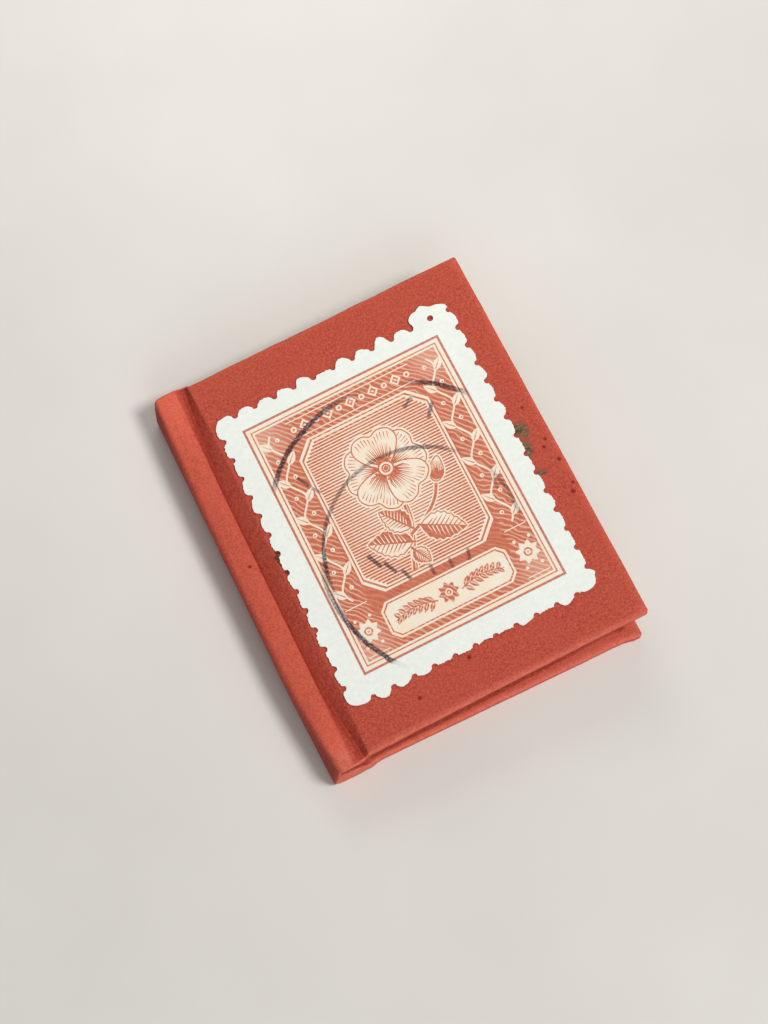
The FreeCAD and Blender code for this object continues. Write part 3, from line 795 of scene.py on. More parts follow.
        def put(x, y, z, w, d):
            ring.append(len(verts))
            verts.append((x, y, z))
            if not front and kk > 12:      # painted shade where the front cover's edge shadows the border, with no rubbing or highlight there
                shade_under_front = smooth((a_s - 0.25 - 0.016 * (x - 7.0) - 0.0012 * (x - 7.0) ** 2) / 0.20) * smooth((x - 3.0) / 0.5)
                w, d = w * (1 - shade_under_front), max(d, 0.62 * shade_under_front)
            wear.append(w)
            painted_shade.append(d)

        for i in range(nu):
            put(*station(i, False), rub_and_highlight_lip[kk] * (1 - gs[i]) + rub_and_highlight_slab[kk] * gs[i], painted_shade_lip[kk] * (1 - gs[i]) + painted_shade_slab[kk] * gs[i])
        t0, t1 = y_tail[-1] + a_s, y_head[-1] - a_s
        for j in range(1, nv - 1):
            u = ys[j] * span
            if u < block - 1e-9:
                x, y = corner(1.0, 1 - u / block, edge_x - ra, t0 + ra, ra, -1)
            elif u > span - block + 1e-9:
                x, y = corner(1.0, 1 - (span - u) / block, edge_x - ra, t1 - ra, ra, 1)
            else:
                x, y = edge_x, t0 + ra + (u - block) * (t1 - t0 - 2 * ra) / (span - 2 * block)
            put(x, y, THICK - slab_dep[kk], 0.6 * rub_and_highlight_slab[kk], painted_shade_slab[kk])
        for i in range(nu - 1, -1, -1):
            put(*station(i, True), rub_and_highlight_lip[kk] * (1 - gs[i]) + 0.45 * rub_and_highlight_slab[kk] * gs[i], painted_shade_lip[kk] * (1 - gs[i]) + painted_shade_slab[kk] * gs[i])
        rings.append(ring)

    faces = []
    for i in range(nu - 1):
        for j in range(nv - 1):
            faces.append((top[i, j], top[i + 1, j], top[i + 1, j + 1], top[i, j + 1]))
    for a, b in zip(rings[:-1], rings[1:]):
        for m in range(len(a) - 1):
            faces.append((a[m], b[m], b[m + 1], a[m + 1]))
    v = np.array(verts, float)
    wear, painted_shade = np.array(wear), np.array(painted_shade)
    # handmade unevenness, the same on both sides of the line where the two halves meet
    nrm = vertex_normals(v, faces)
    at = v.copy()
    if not front:
        at[:, 2] = THICK - at[:, 2]
    meet = smooth((np.abs(at[:, 2] - SEAM_Z) - 0.02) / 0.5)
    rise = 0.020 * wob(at, 0.30, 2.2) + 0.008 * wob(at, 1.1, 7.7)
    if not front:
        rise = np.minimum(rise, 0.0)
    v += nrm * (rise * meet)[:, None]
    if not front:
        v[:, 2] = np.minimum(v[:, 2], THICK)
        v = back_skew(v)
    nrm = vertex_normals(v, faces)
    inner = v - nrm * PAPER
    n = len(v)
    shell = list(faces) + [tuple(i + n for i in reversed(f)) for f in faces]
    count = {}
    for f in faces:
        for a, b in zip(f, f[1:] + f[:1]):
            count[(a, b)] = count.get((a, b), 0) + 1
    for a, b in list(count):
        if (b, a) not in count:
            shell.append((b, a, a + n, b + n))
    v = np.concatenate([v, inner])
    wear = np.concatenate([wear, wear * 0])
    painted_shade = np.concatenate([painted_shade, painted_shade * 0])
    if not front:
        v[:, 2] = THICK - v[:, 2]
        shell = [tuple(reversed(f)) for f in shell]
    placed = v
    if front:
        placed = turn(v, FRONT_PIN, weight(v, *FRONT_BEND) * AJAR)
    # wear carries rubbing together with painted highlight; the second attribute carries painted shade
    ob = add_mesh(name, placed, shell, v, RED, {"wear": wear, "painted_shade": painted_shade}, sharp=50)
    if front:
        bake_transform(ob)
        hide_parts("front_cover_paper", "front_joint_strip", "spine_cover_paper")
    else:
        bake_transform(ob)
        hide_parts("back_cover_paper", "back_joint_strip")
    return ob


cover_wrap("front_covering", True)
cover_wrap("back_covering", False)


# ------------------------------------------------------------------ boards
def rounded_outline(w, h, r, seg=5):
    """A rectangle about the origin with arcs for corners, anticlockwise."""
    out = []
    for sx, sy, a0 in ((1, -1, -90), (1, 1, 0), (-1, 1, 90), (-1, -1, 180)):
        for k in range(seg + 1):
            a = math.radians(a0 + 90 * k / seg)
            out.append((sx * (w / 2 - r) + r * math.cos(a), sy * (h / 2 - r) + r * math.sin(a)))
    return np.array(out)


def plate(name, centre, size, r_plan, r_edge, material, axis=2, crown=0.0):
    """A card or folded pad with rounded corners and edges. axis is the direction of its thickness."""
    w, h, d = size
    outline = rounded_outline(w, h, r_plan)
    n = len(outline)
    verts, faces, rings = [], [], []
    arc = [0, 30, 60, 90]
    steps = [(r_edge * (1 - math.sin(math.radians(a))), -d / 2 + r_edge * (1 - math.cos(math.radians(a)))) for a in arc]
    steps += [(i, -z) for i, z in reversed(steps)]
    for ins, z in steps:
        k = rounded_outline(w - 2 * ins, h - 2 * ins, max(r_plan - ins, 0.01))
        rings.append(range(len(verts), len(verts) + n))
        verts += [(x, y, z) for x, y in k]
    for a, b in zip(rings[:-1], rings[1:]):
        for i in range(n):
            j = (i + 1) % n
            faces.append((a[i], a[j], b[j], b[i]))
    # concentric rings close the two faces
    for ring, up in ((rings[0], False), (rings[-1], True)):
        last = list(ring)
        z = verts[last[0]][2]
        ins = steps[-1][0]
        lim = min(w, h) / 2 - ins
        for t in (0.25, 0.55, 0.85):
            k = rounded_outline(w - 2 * (ins + t * lim), h - 2 * (ins + t * lim), max(0.01, (r_plan - ins) * (1 - t)))
            new = range(len(verts), len(verts) + n)
            lift = crown * math.sin(t * math.pi / 2) * (1 if up else -1)
            verts += [(x, y, z + lift) for x, y in k]
            for i in range(n):
                j = (i + 1) % n
                f = (last[i], last[j], new[j], new[i])
                faces.append(f if up else tuple(reversed(f)))
            last = list(new)
        faces.append(tuple(last) if up else tuple(reversed(last)))
    v = np.array(verts)
    if axis == 1:          # thickness along y: outline x, z
        v = np.stack([v[:, 0], -v[:, 2], v[:, 1]], 1)
    return v + np.array(centre), faces


def board(name, own, low, body, node):
    x0, x1 = JOINT_X + 0.16, FORE_X - 0.13
    v, faces = plate(name, ((x0 + x1) / 2, (own[0] + own[1]) / 2, low + 0.35), (x1 - x0, own[1] - own[0] - 0.26, 0.66), 0.26, 0.15, CARD)
    placed = turn(v, FRONT_PIN, AJAR) if body == "front_cover" else back_skew(v)
    ob = add_mesh(name, placed, faces, v, CARD)
    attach(ob, body)
    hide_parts(node)


board("front_board_card", FRONT_Y, 2.48, "front_cover", "front_board")
board("back_board_card", BACK_Y, 0.12, "back_cover", "back_board")

def wall_x(y, z):
    """The outer face of the spine's wall."""
    a, b = end_weights(y)
    foot, seam, brow = 0.04 + 0.10 * b, HEAD_CUT[0][0] * a + TAIL_CUT[0][0] * b, HEAD_CUT[1][0] * a + TAIL_CUT[1][0] * b
    return np.where(z < SEAM_Z, foot * (1 - z / SEAM_Z) + seam * z / SEAM_Z, seam + (brow - seam) * (z - SEAM_Z) / (3.27 - SEAM_Z))


def spine_board():
    """A strip of card behind the wall, thinner towards the head and tail where the wall leans in."""
    ys, zs = np.linspace(1.0, 29.6, 60), np.concatenate([[0.26, 0.30], np.linspace(0.38, 2.62, 9), [2.70, 2.74]])
    Y, Z = np.meshgrid(ys, zs, indexing="ij")
    y, z = Y.ravel(), Z.ravel()
    ease = np.minimum(smooth((z - 0.22) / 0.14), smooth((2.78 - z) / 0.14)) * np.minimum(smooth((y - 0.9) / 0.3), smooth((29.7 - y) / 0.3))
    outer = wall_x(y, z) + 0.14 + 0.05 * (1 - ease)
    inner = np.maximum(0.79 - 0.04 * (1 - ease), outer + 0.03)
    n = len(y)
    verts = np.concatenate([np.stack([outer, y, z], 1), np.stack([inner, y, z], 1)])
    idx = np.arange(n).reshape(Y.shape)
    faces = []
    for i in range(len(ys) - 1):
        for j in range(len(zs) - 1):
            q = (idx[i, j], idx[i, j + 1], idx[i + 1, j + 1], idx[i + 1, j])
            faces.append(tuple(reversed(q)))
            faces.append(tuple(k + n for k in q))
    rim = list(idx[:, 0]) + list(idx[-1, 1:]) + list(idx[-2::-1, -1]) + list(idx[0, -2:0:-1])
    for a, b in zip(rim, rim[1:] + rim[:1]):
        faces.append((b, a, a + n, b + n))
    return verts, [tuple(reversed(f)) for f in faces]


v, f = spine_board()
ob = add_mesh("spine_board_card", v, f, v, CARD)
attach(ob, "spine")
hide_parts("spine_board")


# ------------------------------------------------------------------ leaves and endpapers
def sheet_grid(x0, x1, y0, y1, nx, ny, root):
    """Stations of a sheet, closer near the root where it bends."""
    xs = np.concatenate([np.linspace(x0, root, 15)[:-1], np.linspace(root, x1, nx)])
    ys = np.linspace(y0, y1, ny)
    return xs, ys


def sheet_mesh(xs, ys, low, thickness, wave):
    """A closed thin sheet. low and wave give the underside's height at points in plan."""
    X, Y = np.meshgrid(xs, ys, indexing="ij")
    flat = np.stack([X.ravel(), Y.ravel(), np.zeros(X.size)], 1)
    z = low(flat[:, 0], flat[:, 1]) + wave(flat)
    under = np.stack([flat[:, 0], flat[:, 1], z], 1)
    over = under + np.array([0, 0, thickness])
    nx, ny = len(xs), len(ys)
    n = nx * ny
    idx = np.arange(n).reshape(nx, ny)
    faces = []
    for i in range(nx - 1):
        for j in range(ny - 1):
            q = (idx[i, j], idx[i + 1, j], idx[i + 1, j + 1], idx[i, j + 1])
            faces.append(tuple(k + n for k in q))
            faces.append(tuple(reversed(q)))
    rim = list(idx[:, 0]) + list(idx[-1, 1:]) + list(idx[-2::-1, -1]) + list(idx[0, -2:0:-1])
    for a, b in zip(rim, rim[1:] + rim[:1]):
        faces.append((a, b, b + n, a + n))
    return np.concatenate([under, over]), faces


SHEETS = [("front_flyleaf", 2.14, 0.92), ("leaf_1", 2.02, 0.76), ("leaf_2", 1.90, 0.60), ("leaf_3", 1.78, 0.44), ("leaf_4", 1.66, 0.28),
          ("leaf_5", 1.54, 0.0), ("leaf_6", 1.42, 0.0), ("leaf_7", 1.30, 0.0), ("leaf_8", 1.18, 0.0), ("back_flyleaf", 1.06, 0.0)]
for k, (name, low, share) in enumerate(SHEETS):
    rng = np.random.default_rng(40 + k)
    dx, dy0, dy1 = rng.uniform(-0.10, 0.04), rng.uniform(-0.05, 0.05), rng.uniform(-0.05, 0.05)
    xs, ys = sheet_grid(1.03, 24.05 + dx, 1.55 + dy0, 29.15 + dy1, 30, 36, 2.60)
    v, f = sheet_mesh(xs, ys, lambda x, y: np.full(len(x), low), 0.088,
                      lambda p: 0.012 * smooth((p[:, 0] - 2.0) / 6.0) * wob(np.stack([p[:, 0], p[:, 1], np.zeros(len(p))], 1), 0.16, 4.4))
    start, end = (1.10, 15.35, low), (2.45, 15.35, low)
    placed = turn(v, UPPER_ROOT, weight(v, start, end) * share * AJAR) if share else v
    fly = "flyleaf" in name
    ob = add_mesh(name + "_sheet", placed, f, v, ENDS if fly else LEAF, sharp=40)
    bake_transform(ob)
    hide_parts(name)


def endpaper(front):
    """The half of an endpaper that is pasted to the board. It runs on across the inner joint to the leaves' roots."""
    own = FRONT_Y if front else BACK_Y
    y0, y1 = own[0] + 1.30, own[1] - 1.30
    xs, ys = sheet_grid(1.05, FORE_X - 1.30, y0, y1, 46, 60, 3.20)

    def low(x, y):
        inside = smooth((FORE_X - TURN_IN - x) / 0.30) * smooth((y - own[0] - TURN_IN) / 0.30) * smooth((own[1] - TURN_IN - y) / 0.30) * smooth((x - JOINT_X - 0.16) / 0.3)
        return 2.262 + 0.10 * inside

    v, f = sheet_mesh(xs, ys, low, 0.09, lambda p: 0.004 * wob(p, 0.5, 9.1))
    if not front:
        v[:, 2] = THICK - v[:, 2]
        f = [tuple(reversed(k)) for k in f]
    if front:
        placed = turn(v, FRONT_PIN, weight(v, (1.10, 0, 2.3), (2.60, 0, 2.3)) * AJAR)
        ob = add_mesh("front_endpaper", placed, f, v, ENDS, sharp=40)
        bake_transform(ob)
        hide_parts("front_pastedown")
    else:
        ob = add_mesh("back_endpaper", v, f, v, ENDS, sharp=40)
        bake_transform(ob)
        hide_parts("back_pastedown")


endpaper(True)
endpaper(False)

# the lining and the paste behind the leaves keep their CAD shapes
for node, material in (("spine_lining", LINING), ("spine_glue", GLUE)):
    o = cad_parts[node]
    o = o if hasattr(o, "material_slots") else bpy.data.objects[node]
    if not o.material_slots:
        o.data.materials.append(material)
    for s in o.material_slots:
        s.material = material


# ------------------------------------------------------------------ the stamp
def to_book(p):
    """Cover coordinates, from the groove's edge and the front cover's tail, to book x and y."""
    q = np.array(p, float)
    q[:, 0] += JOINT_X
    q[:, 1] += FRONT_Y[0]
    return q


def stamp_outline():
    """The torn outline, in cover coordinates, anticlockwise: round pin holes at an even pitch, and between
    them teeth that tore to different lengths."""
    rng = np.random.default_rng(11)
    pts = []

    def side(place, marks, tips):
        """place turns (along, out) to cover x, y; marks are the holes along the side, tips the teeth's (along, out)."""
        for k, m in enumerate(marks):
            r = 0.235 + rng.uniform(-0.02, 0.02)
            sgn = 1.0 if marks[-1] > marks[0] else -1.0
            for a in np.linspace(180, 360, 8):
                pts.append(place(m + sgn * r * math.cos(math.radians(a)), r + r * math.sin(math.radians(a)) + rng.uniform(-0.020, 0.020)))
            if k < len(marks) - 1:
                a, b = m + sgn * 0.25, marks[k + 1] - sgn * 0.25
                tip, out = tips[k]
                tip = min(max((tip - a) / (b - a), 0.16), 0.84)
                rough = rng.uniform(1.7, 3.2)
                for s in np.linspace(0.04, 0.96, 13):
                    u = (s - tip) / (tip if s < tip else 1 - tip)
                    h = 0.23 + (out - 0.23) * (1 - abs(u) ** rough)
                    pts.append(place(a + (b - a) * s, h + rng.normal(0, 0.020)))

    def plain(*more):
        pts.extend(more)

    # bottom side, left to right
    marks = 2.13 + 1.602 * np.arange(11)
    tips = [(3.0, 0.62), (4.33, 0.47), (6.18, 0.42), (7.65, 0.24), (9.4, 0.27), (11.1, 0.12), (12.5, 0.14), (13.83, 0.42), (16.0, 0.16), (17.23, 0.52)]
    side(lambda t, h: (t, 3.45 - h), marks, tips)
    plain((18.45, 3.36), (18.75, 3.21), (19.10, 3.19), (19.45, 3.27), (19.70, 3.42), (19.86, 3.70), (19.92, 3.98), (20.09, 4.17), (19.99, 4.34), (19.80, 4.52))
    # right side, upwards
    marks = 4.78 + 1.566 * np.arange(15)
    tips = [(5.65, 0.25), (7.05, 0.26), (8.88, 0.33), (10.2, 0.38), (12.1, 0.31), (13.38, 0.27), (14.8, 0.28), (16.65, 0.34), (18.0, 0.43), (19.73, 0.32), (20.88, 0.44),
            (22.75, 0.37), (24.05, 0.35), (25.55, 0.44)]
    side(lambda t, h: (19.55 + h, t), marks, tips)
    # the lobe left at the corner where a hole was missed
    plain((19.74, 27.08), (19.70, 27.20), (19.52, 27.34), (19.05, 27.52), (18.80, 27.53), (18.55, 27.58), (18.28, 27.77), (18.06, 27.91), (17.90, 27.92), (17.72, 27.84),
          (17.48, 27.69), (17.18, 27.66), (16.92, 27.52), (16.76, 27.32), (16.72, 27.06), (16.83, 26.82))
    # top side, right to left
    marks = (2.20 + 1.598 * np.arange(10))[::-1]
    tips = [(3.03, 0.50), (4.58, 0.44), (5.85, 0.48), (7.53, 0.64), (9.2, 0.25), (10.83, 0.61), (12.4, 0.58), (14.15, 0.80), (15.65, 0.51)][::-1]
    side(lambda t, h: (t, 26.40 + h), marks, tips)
    plain((1.88, 26.74), (1.70, 26.87), (1.42, 26.88), (1.16, 26.83), (0.88, 26.80), (0.68, 26.58), (0.52, 26.36), (0.43, 26.10), (0.40, 25.78), (0.44, 25.52), (0.58, 25.38))
    # left side, downwards
    marks = (4.72 + 1.570 * np.arange(14))[::-1]
    tips = [(5.83, 0.36), (7.03, 0.24), (8.35, 0.40), (9.83, 0.37), (11.43, 0.32), (13.6, 0.36), (14.58, 0.34), (16.18, 0.35), (17.85, 0.36), (19.43, 0.42), (20.95, 0.40),
            (22.45, 0.29), (24.03, 0.38)][::-1]
    side(lambda t, h: (0.70 + 0.0045 * (t - 4.7) - h, t), marks, tips)
    plain((0.42, 4.52), (0.32, 4.36), (0.29, 4.05), (0.31, 3.74), (0.42, 3.50), (0.62, 3.33), (0.92, 3.19), (1.30, 3.11), (1.62, 3.10), (1.80, 3.16))
    return np.array(pts)


def cdt(points, loops):
    """Triangles of the plane cut along closed loops, with the loops that hold each triangle."""
    v, e, f, _, _, ids = geometry.delaunay_2d_cdt([Vector(p) for p in points], [], loops, 1, 1e-6, True)
    return np.array([tuple(p) for p in v]), [tuple(t) for t in f], ids


def prism(points, tris, top, bottom):
    """A closed solid over flat triangles. top and bottom give the heights at the points."""
    n = len(points)
    faces = []
    edges = {}
    for t in tris:
        faces.append(t)
        faces.append(tuple(i + n for i in reversed(t)))
        for a, b in zip(t, t[1:] + t[:1]):
            edges[(a, b)] = True
    for a, b in edges:
        if (b, a) not in edges:
            faces.append((b, a, a + n, b + n))
    v = np.concatenate([np.column_stack([points, top]), np.column_stack([points, bottom])])
    used = sorted({i for f in faces for i in f})
    new = {o: i for i, o in enumerate(used)}
    return v[used], [tuple(new[i] for i in f) for f in faces]


def outward(poly):
    a = np.asarray(poly, float)
    x, y = a[:, 0], a[:, 1]
    return a if np.sum(x * np.roll(y, -1) - np.roll(x, -1) * y) > 0 else a[::-1]


def art_of(p):
    """Book x, y to the print's own flat coordinates."""
    d = np.asarray(p, float)[:, :2] - STAMP_MID
    c, s = math.cos(-STAMP_TURN), math.sin(-STAMP_TURN)
    return np.column_stack([d[:, 0] * c - d[:, 1] * s, d[:, 0] * s + d[:, 1] * c, np.zeros(len(d))])


def from_art(q):
    q = np.asarray(q, float)
    c, s = math.cos(STAMP_TURN), math.sin(STAMP_TURN)
    return np.column_stack([q[:, 0] * c - q[:, 1] * s, q[:, 0] * s + q[:, 1] * c]) + STAMP_MID


STAMP_TOP = THICK + 0.118


def curl(p):
    """How far the stamp's margin has lifted off the cover."""
    q = art_of(p)
    out = np.maximum(np.maximum(np.abs(q[:, 0]) - 8.3, np.abs(q[:, 1]) - 10.5), 0)
    p3 = np.column_stack([np.asarray(p)[:, :2], np.zeros(len(p))])
    lift = 0.012 + 0.012 * wob(p3, 0.35, 6.6)
    lobe = np.exp(-(((q[:, 0] - 8.0) / 2.0) ** 2 + ((q[:, 1] - 12.2) / 1.6) ** 2))
    return smooth(out / 1.6) * lift + 0.05 * lobe


outline = outward(to_book(stamp_outline()))
hole = np.array([(18.25 + JOINT_X + 0.235 * math.cos(a), 26.72 + FRONT_Y[0] + 0.235 * math.sin(a)) for a in np.linspace(0, 2 * math.pi, 18, endpoint=False)])
gx, gy = np.meshgrid(np.arange(JOINT_X + 1.06, JOINT_X + 19.6, 0.55), np.arange(4.3, 26.9, 0.55))
grid = np.column_stack([gx.ravel(), gy.ravel()])
pts = np.concatenate([outline, hole, grid])
n0, n1 = len(outline), len(hole)
tv, tt, ids = cdt(pts, [list(range(n0)), list(range(n0, n0 + n1))])
keep = [t for t, i in zip(tt, ids) if 0 in i and 1 not in i]
lift = curl(tv)
v, f = prism(tv, keep, STAMP_TOP + lift, STAMP_TOP - 0.085 + lift * 0.85)
ob = add_mesh("stamp_sheet", turn(v, FRONT_PIN, AJAR), f, v, STAMP, sharp=40, art=art_of(v))
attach(ob, "front_cover")
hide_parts("cover_stamp")


# ------------------------------------------------------------------ the print: a plain botanical design
def rect(w, h, cx=0.0, cy=0.0):
    return np.array([(cx - w, cy - h), (cx + w, cy - h), (cx + w, cy + h), (cx - w, cy + h)])


def octagon(w, h, cut, cx=0.0, cy=0.0):
    return np.array([(cx - w + cut, cy - h), (cx + w - cut, cy - h), (cx + w, cy - h + cut), (cx + w, cy + h - cut), (cx + w - cut, cy + h), (cx - w + cut, cy + h),
                     (cx - w, cy + h - cut), (cx - w, cy - h + cut)])


def disc(cx, cy, r, n=16):
    a = np.linspace(0, 2 * math.pi, n, endpoint=False)
    return np.column_stack([cx + r * np.cos(a), cy + r * np.sin(a)])


def spline(points, n, closed=False):
    """A smooth curve through the points."""
    p = np.asarray(points, float)
    m = len(p)
    out = []
    for i in range(m if closed else m - 1):
        if closed:
            a, b, c, d = p[(i - 1) % m], p[i], p[(i + 1) % m], p[(i + 2) % m]
        else:
            a, b, c, d = p[max(i - 1, 0)], p[i], p[i + 1], p[min(i + 2, m - 1)]
        for k in range(n):
            t = k / n
            out.append(0.5 * (2 * b + (c - a) * t + (2 * a - 5 * b + 4 * c - d) * t * t + (3 * b - a - 3 * c + d) * t ** 3))
    if not closed:
        out.append(p[-1])
    return np.array(out)


def ribbon(points, half):
    """A line drawn with a pen: half is its half width, one number or one per point."""
    p = np.asarray(points, float)
    half = np.broadcast_to(np.asarray(half, float), (len(p),))
    d = np.gradient(p, axis=0)
    d /= np.linalg.norm(d, axis=1)[:, None]
    nrm = np.column_stack([-d[:, 1], d[:, 0]]) * half[:, None]
    return np.concatenate([p - nrm, (p + nrm)[::-1]])


def placed2(shape, x, y, angle, scale=1.0):
    c, s = math.cos(angle), math.sin(angle)
    q = np.asarray(shape, float) * scale
    return np.column_stack([x + q[:, 0] * c - q[:, 1] * s, y + q[:, 0] * s + q[:, 1] * c])


def swell(shape, by):
    """The shape grown outwards by a small distance."""
    p = outward(shape)
    d = np.roll(p, -1, 0) - np.roll(p, 1, 0)
    d /= np.maximum(np.linalg.norm(d, axis=1), 1e-9)[:, None]
    return p + np.column_stack([d[:, 1], -d[:, 0]]) * by


def leaf_shape(length, width, teeth=0):
    """A leaf along +x from the origin."""
    t = np.linspace(0, 1, 15)
    w = width * np.sin(np.pi * t ** 0.8) ** 0.9
    if teeth:
        w = w * (1 + 0.16 * (np.arange(15) % 2) * (t > 0.1) * (t < 0.95))
    w[0] = w[-1] = 0.0
    upper = np.column_stack([t * length, w])
    return np.concatenate([upper, (upper * (1, -1))[::-1][1:-1]])


PETAL = spline([(0.02, 0.08), (0.30, 0.40), (0.66, 0.60), (0.95, 0.50), (1.03, 0.22), (0.94, 0.0), (1.03, -0.22), (0.95, -0.50), (0.66, -0.60), (0.30, -0.40), (0.02, -0.08), (-0.02, 0.0)], 4, True)

layers = []             # (outline, inked) in the order they are laid down


def ink(shape):
    layers.append((outward(shape), True))


def bare(shape):
    layers.append((outward(shape), False))


# frame lines and the border's ground
ink(rect(8.0, 10.185))
bare(rect(7.83, 10.015))
ink(rect(7.55, 9.735))
bare(rect(7.46, 9.645))
ink(rect(7.30, 9.485))
# the picture's panel, with cut corners
PW, PH, PC, PY = 5.25, 6.45, 1.25, 1.00
bare(octagon(PW, PH, PC, 0, PY))
ink(octagon(PW - 0.16, PH - 0.16, PC, 0, PY))
bare(octagon(PW - 0.26, PH - 0.26, PC, 0, PY))
# ruled ground of the panel, thinner towards the middle
iw, ih, ic = PW - 0.40, PH - 0.40, PC
for k in range(int(2 * ih / 0.225) + 1):
    y = PY - ih + 0.06 + 0.225 * k
    if y > PY + ih - 0.03:
        break
    half = iw - max(0.0, abs(y - PY) - (ih - ic))
    xs = np.linspace(-half, half, 13)
    tone = np.clip(np.hypot(xs / 4.6, (y - 1.6) / 6.0), 0.25, 1.1)
    ink(ribbon(np.column_stack([xs, np.full(13, y)]), 0.022 + 0.042 * tone))

# border columns: a waving stem with leaves and berries
for sx in (-1, 1):
    ys = np.linspace(-5.0, 8.9, 60)
    stem = np.column_stack([sx * (6.33 + 0.40 * np.sin((ys + 5.0) * 2 * np.pi / 3.1)), ys])
    bare(ribbon(stem, 0.075))
    for k in range(9):
        y = -4.6 + 1.55 * k
        if y > 8.4:
            break
        flip = 1 if k % 2 == 0 else -1
        x = 6.33 + 0.40 * math.sin((y + 5.0) * 2 * math.pi / 3.1)
        ang = math.pi / 2 - flip * 0.75 * 1.0
        shape = placed2(leaf_shape(1.15, 0.30), x, y, ang)
        shape[:, 0] *= sx
        bare(shape)
        rib = placed2(np.array([(0.12, 0.0), (0.5, 0.0), (0.95, 0.0)]), x, y, ang)
        rib[:, 0] *= sx
        ink(ribbon(rib, (0.035, 0.03, 0.008)))
        bx, by = x - flip * 0.62, y + 0.55
        bare(disc(sx * bx, by, 0.17, 12))
        ink(disc(sx * (bx + 0.03), by - 0.02, 0.065, 8))
# top band: lozenges and beads between two lines
bare(rect(5.0, 0.045, 0, 9.20))
bare(rect(5.0, 0.045, 0, 7.80))
for k in range(-5, 6):
    x = k * 0.92
    if k % 2 == 0:
        bare(np.array([(x - 0.46, 8.5), (x, 8.02), (x + 0.46, 8.5), (x, 8.98)]))
        ink(np.array([(x - 0.26, 8.5), (x, 8.23), (x + 0.26, 8.5), (x, 8.77)]))
        bare(disc(x, 8.5, 0.09, 8))
    else:
        bare(disc(x, 8.5, 0.24, 14))
        ink(disc(x, 8.5, 0.11, 10))
# lower band: a bare plate with a laurel spray on each side of a rosette
plate2 = octagon(4.95, 1.45, 0.55, 0, -7.55)
bare(plate2)
ink(octagon(4.80, 1.30, 0.50, 0, -7.55))
bare(octagon(4.71, 1.21, 0.47, 0, -7.55))
for sx in (-1, 1):
    t = np.linspace(0, 1, 14)
    stem = np.column_stack([sx * (0.95 + 3.35 * t), -7.75 + 0.35 * np.sin(t * np.pi)])
    ink(ribbon(stem, 0.05 * (1 - 0.6 * t) + 0.012))
    for k in range(7):
        u = 0.08 + 0.13 * k
        x, y = 0.95 + 3.35 * u, -7.75 + 0.35 * math.sin(u * math.pi)
        for up in (1, -1):
            shape = placed2(leaf_shape(0.82 - 0.04 * k, 0.17), x, y, up * 0.85)
            shape[:, 0] *= sx
            ink(shape)
            rib = placed2(np.array([(0.10, 0.0), (0.35, 0.0), (0.62, 0.0)]), x, y, up * 0.85)
            rib[:, 0] *= sx
            bare(ribbon(rib, (0.028, 0.024, 0.008)))


def rosette(cx, cy, r, petals, start, fill):
    """A small round flower, bare on an inked ground or inked on a bare one."""
    one, two = (bare, ink) if fill else (ink, bare)
    for k in range(petals):
        one(placed2(leaf_shape(r, r * 0.30), cx, cy, start + 2 * math.pi * k / petals))
    two(disc(cx, cy, r * 0.36, 14))
    one(disc(cx, cy, r * 0.22, 12))
    two(disc(cx, cy, r * 0.09, 8))


rosette(0.0, -7.55, 0.80, 8, 0.0, False)
for sx in (-1, 1):
    rosette(sx * 6.33, -7.50, 0.92, 8, math.pi / 8, True)
    for a in range(4):
        x, y = sx * 6.33 + 0.78 * math.cos(math.pi / 4 + a * math.pi / 2) * 1.05, -7.50 + 1.20 * math.sin(math.pi / 4 + a * math.pi / 2) * 1.25
        bare(disc(x, y, 0.13, 10))
    bare(rect(0.86, 0.04, sx * 6.33, -5.45))
    bare(rect(0.86, 0.04, sx * 6.33, -9.25))

# the spray in the panel: stem, leaves, a bud and an open five-petalled flower
stem = spline([(-1.35, -4.95), (-0.75, -3.4), (-0.05, -1.6), (0.15, 0.2), (0.15, 1.6)], 8)
bare(ribbon(stem, 0.27))
ink(ribbon(stem, 0.17))
bare(ribbon(stem + (0.045, 0), 0.03))
side_stem = spline([(-0.42, -2.5), (0.9, -1.9), (2.2, -0.9), (2.95, 0.35)], 8)
bare(ribbon(side_stem, 0.20))
ink(ribbon(side_stem, 0.105))


def foliage(x, y, angle, length, width):
    shape = placed2(leaf_shape(length, width, 1), x, y, angle)
    bare(swell(shape, 0.17))
    ink(swell(shape, 0.05))
    bare(swell(shape, -0.035))
    half = leaf_shape(length, width, 1)
    half = half[half[:, 1] <= 1e-9]
    lower = placed2(np.concatenate([half[::-1]]), x, y, angle)
    ink(lower)
    for k in range(8):
        u = 0.14 + 0.095 * k
        w = width * math.sin(math.pi * u ** 0.8) ** 0.9
        for s in (1, -1):
            a = np.array([(u * length, 0.0), ((u + 0.07) * length, s * 0.5 * w), ((u + 0.12) * length, s * 0.86 * w)])
            (ink if s > 0 else bare)(ribbon(placed2(a, x, y, angle), (0.045, 0.034, 0.010)))
    ink(ribbon(placed2(np.array([(-0.25, 0.0), (0.35 * length, 0.0), (0.7 * length, 0.0), (0.97 * length, 0.0)]), x, y, angle), (0.07, 0.055, 0.04, 0.01)))


foliage(-0.62, -3.05, math.radians(158), 3.2, 0.92)
foliage(-0.25, -2.05, math.radians(128), 2.6, 0.74)
foliage(0.45, -2.20, math.radians(-28), 3.3, 0.92)
foliage(-0.80, -3.60, math.radians(-62), 1.5, 0.50)
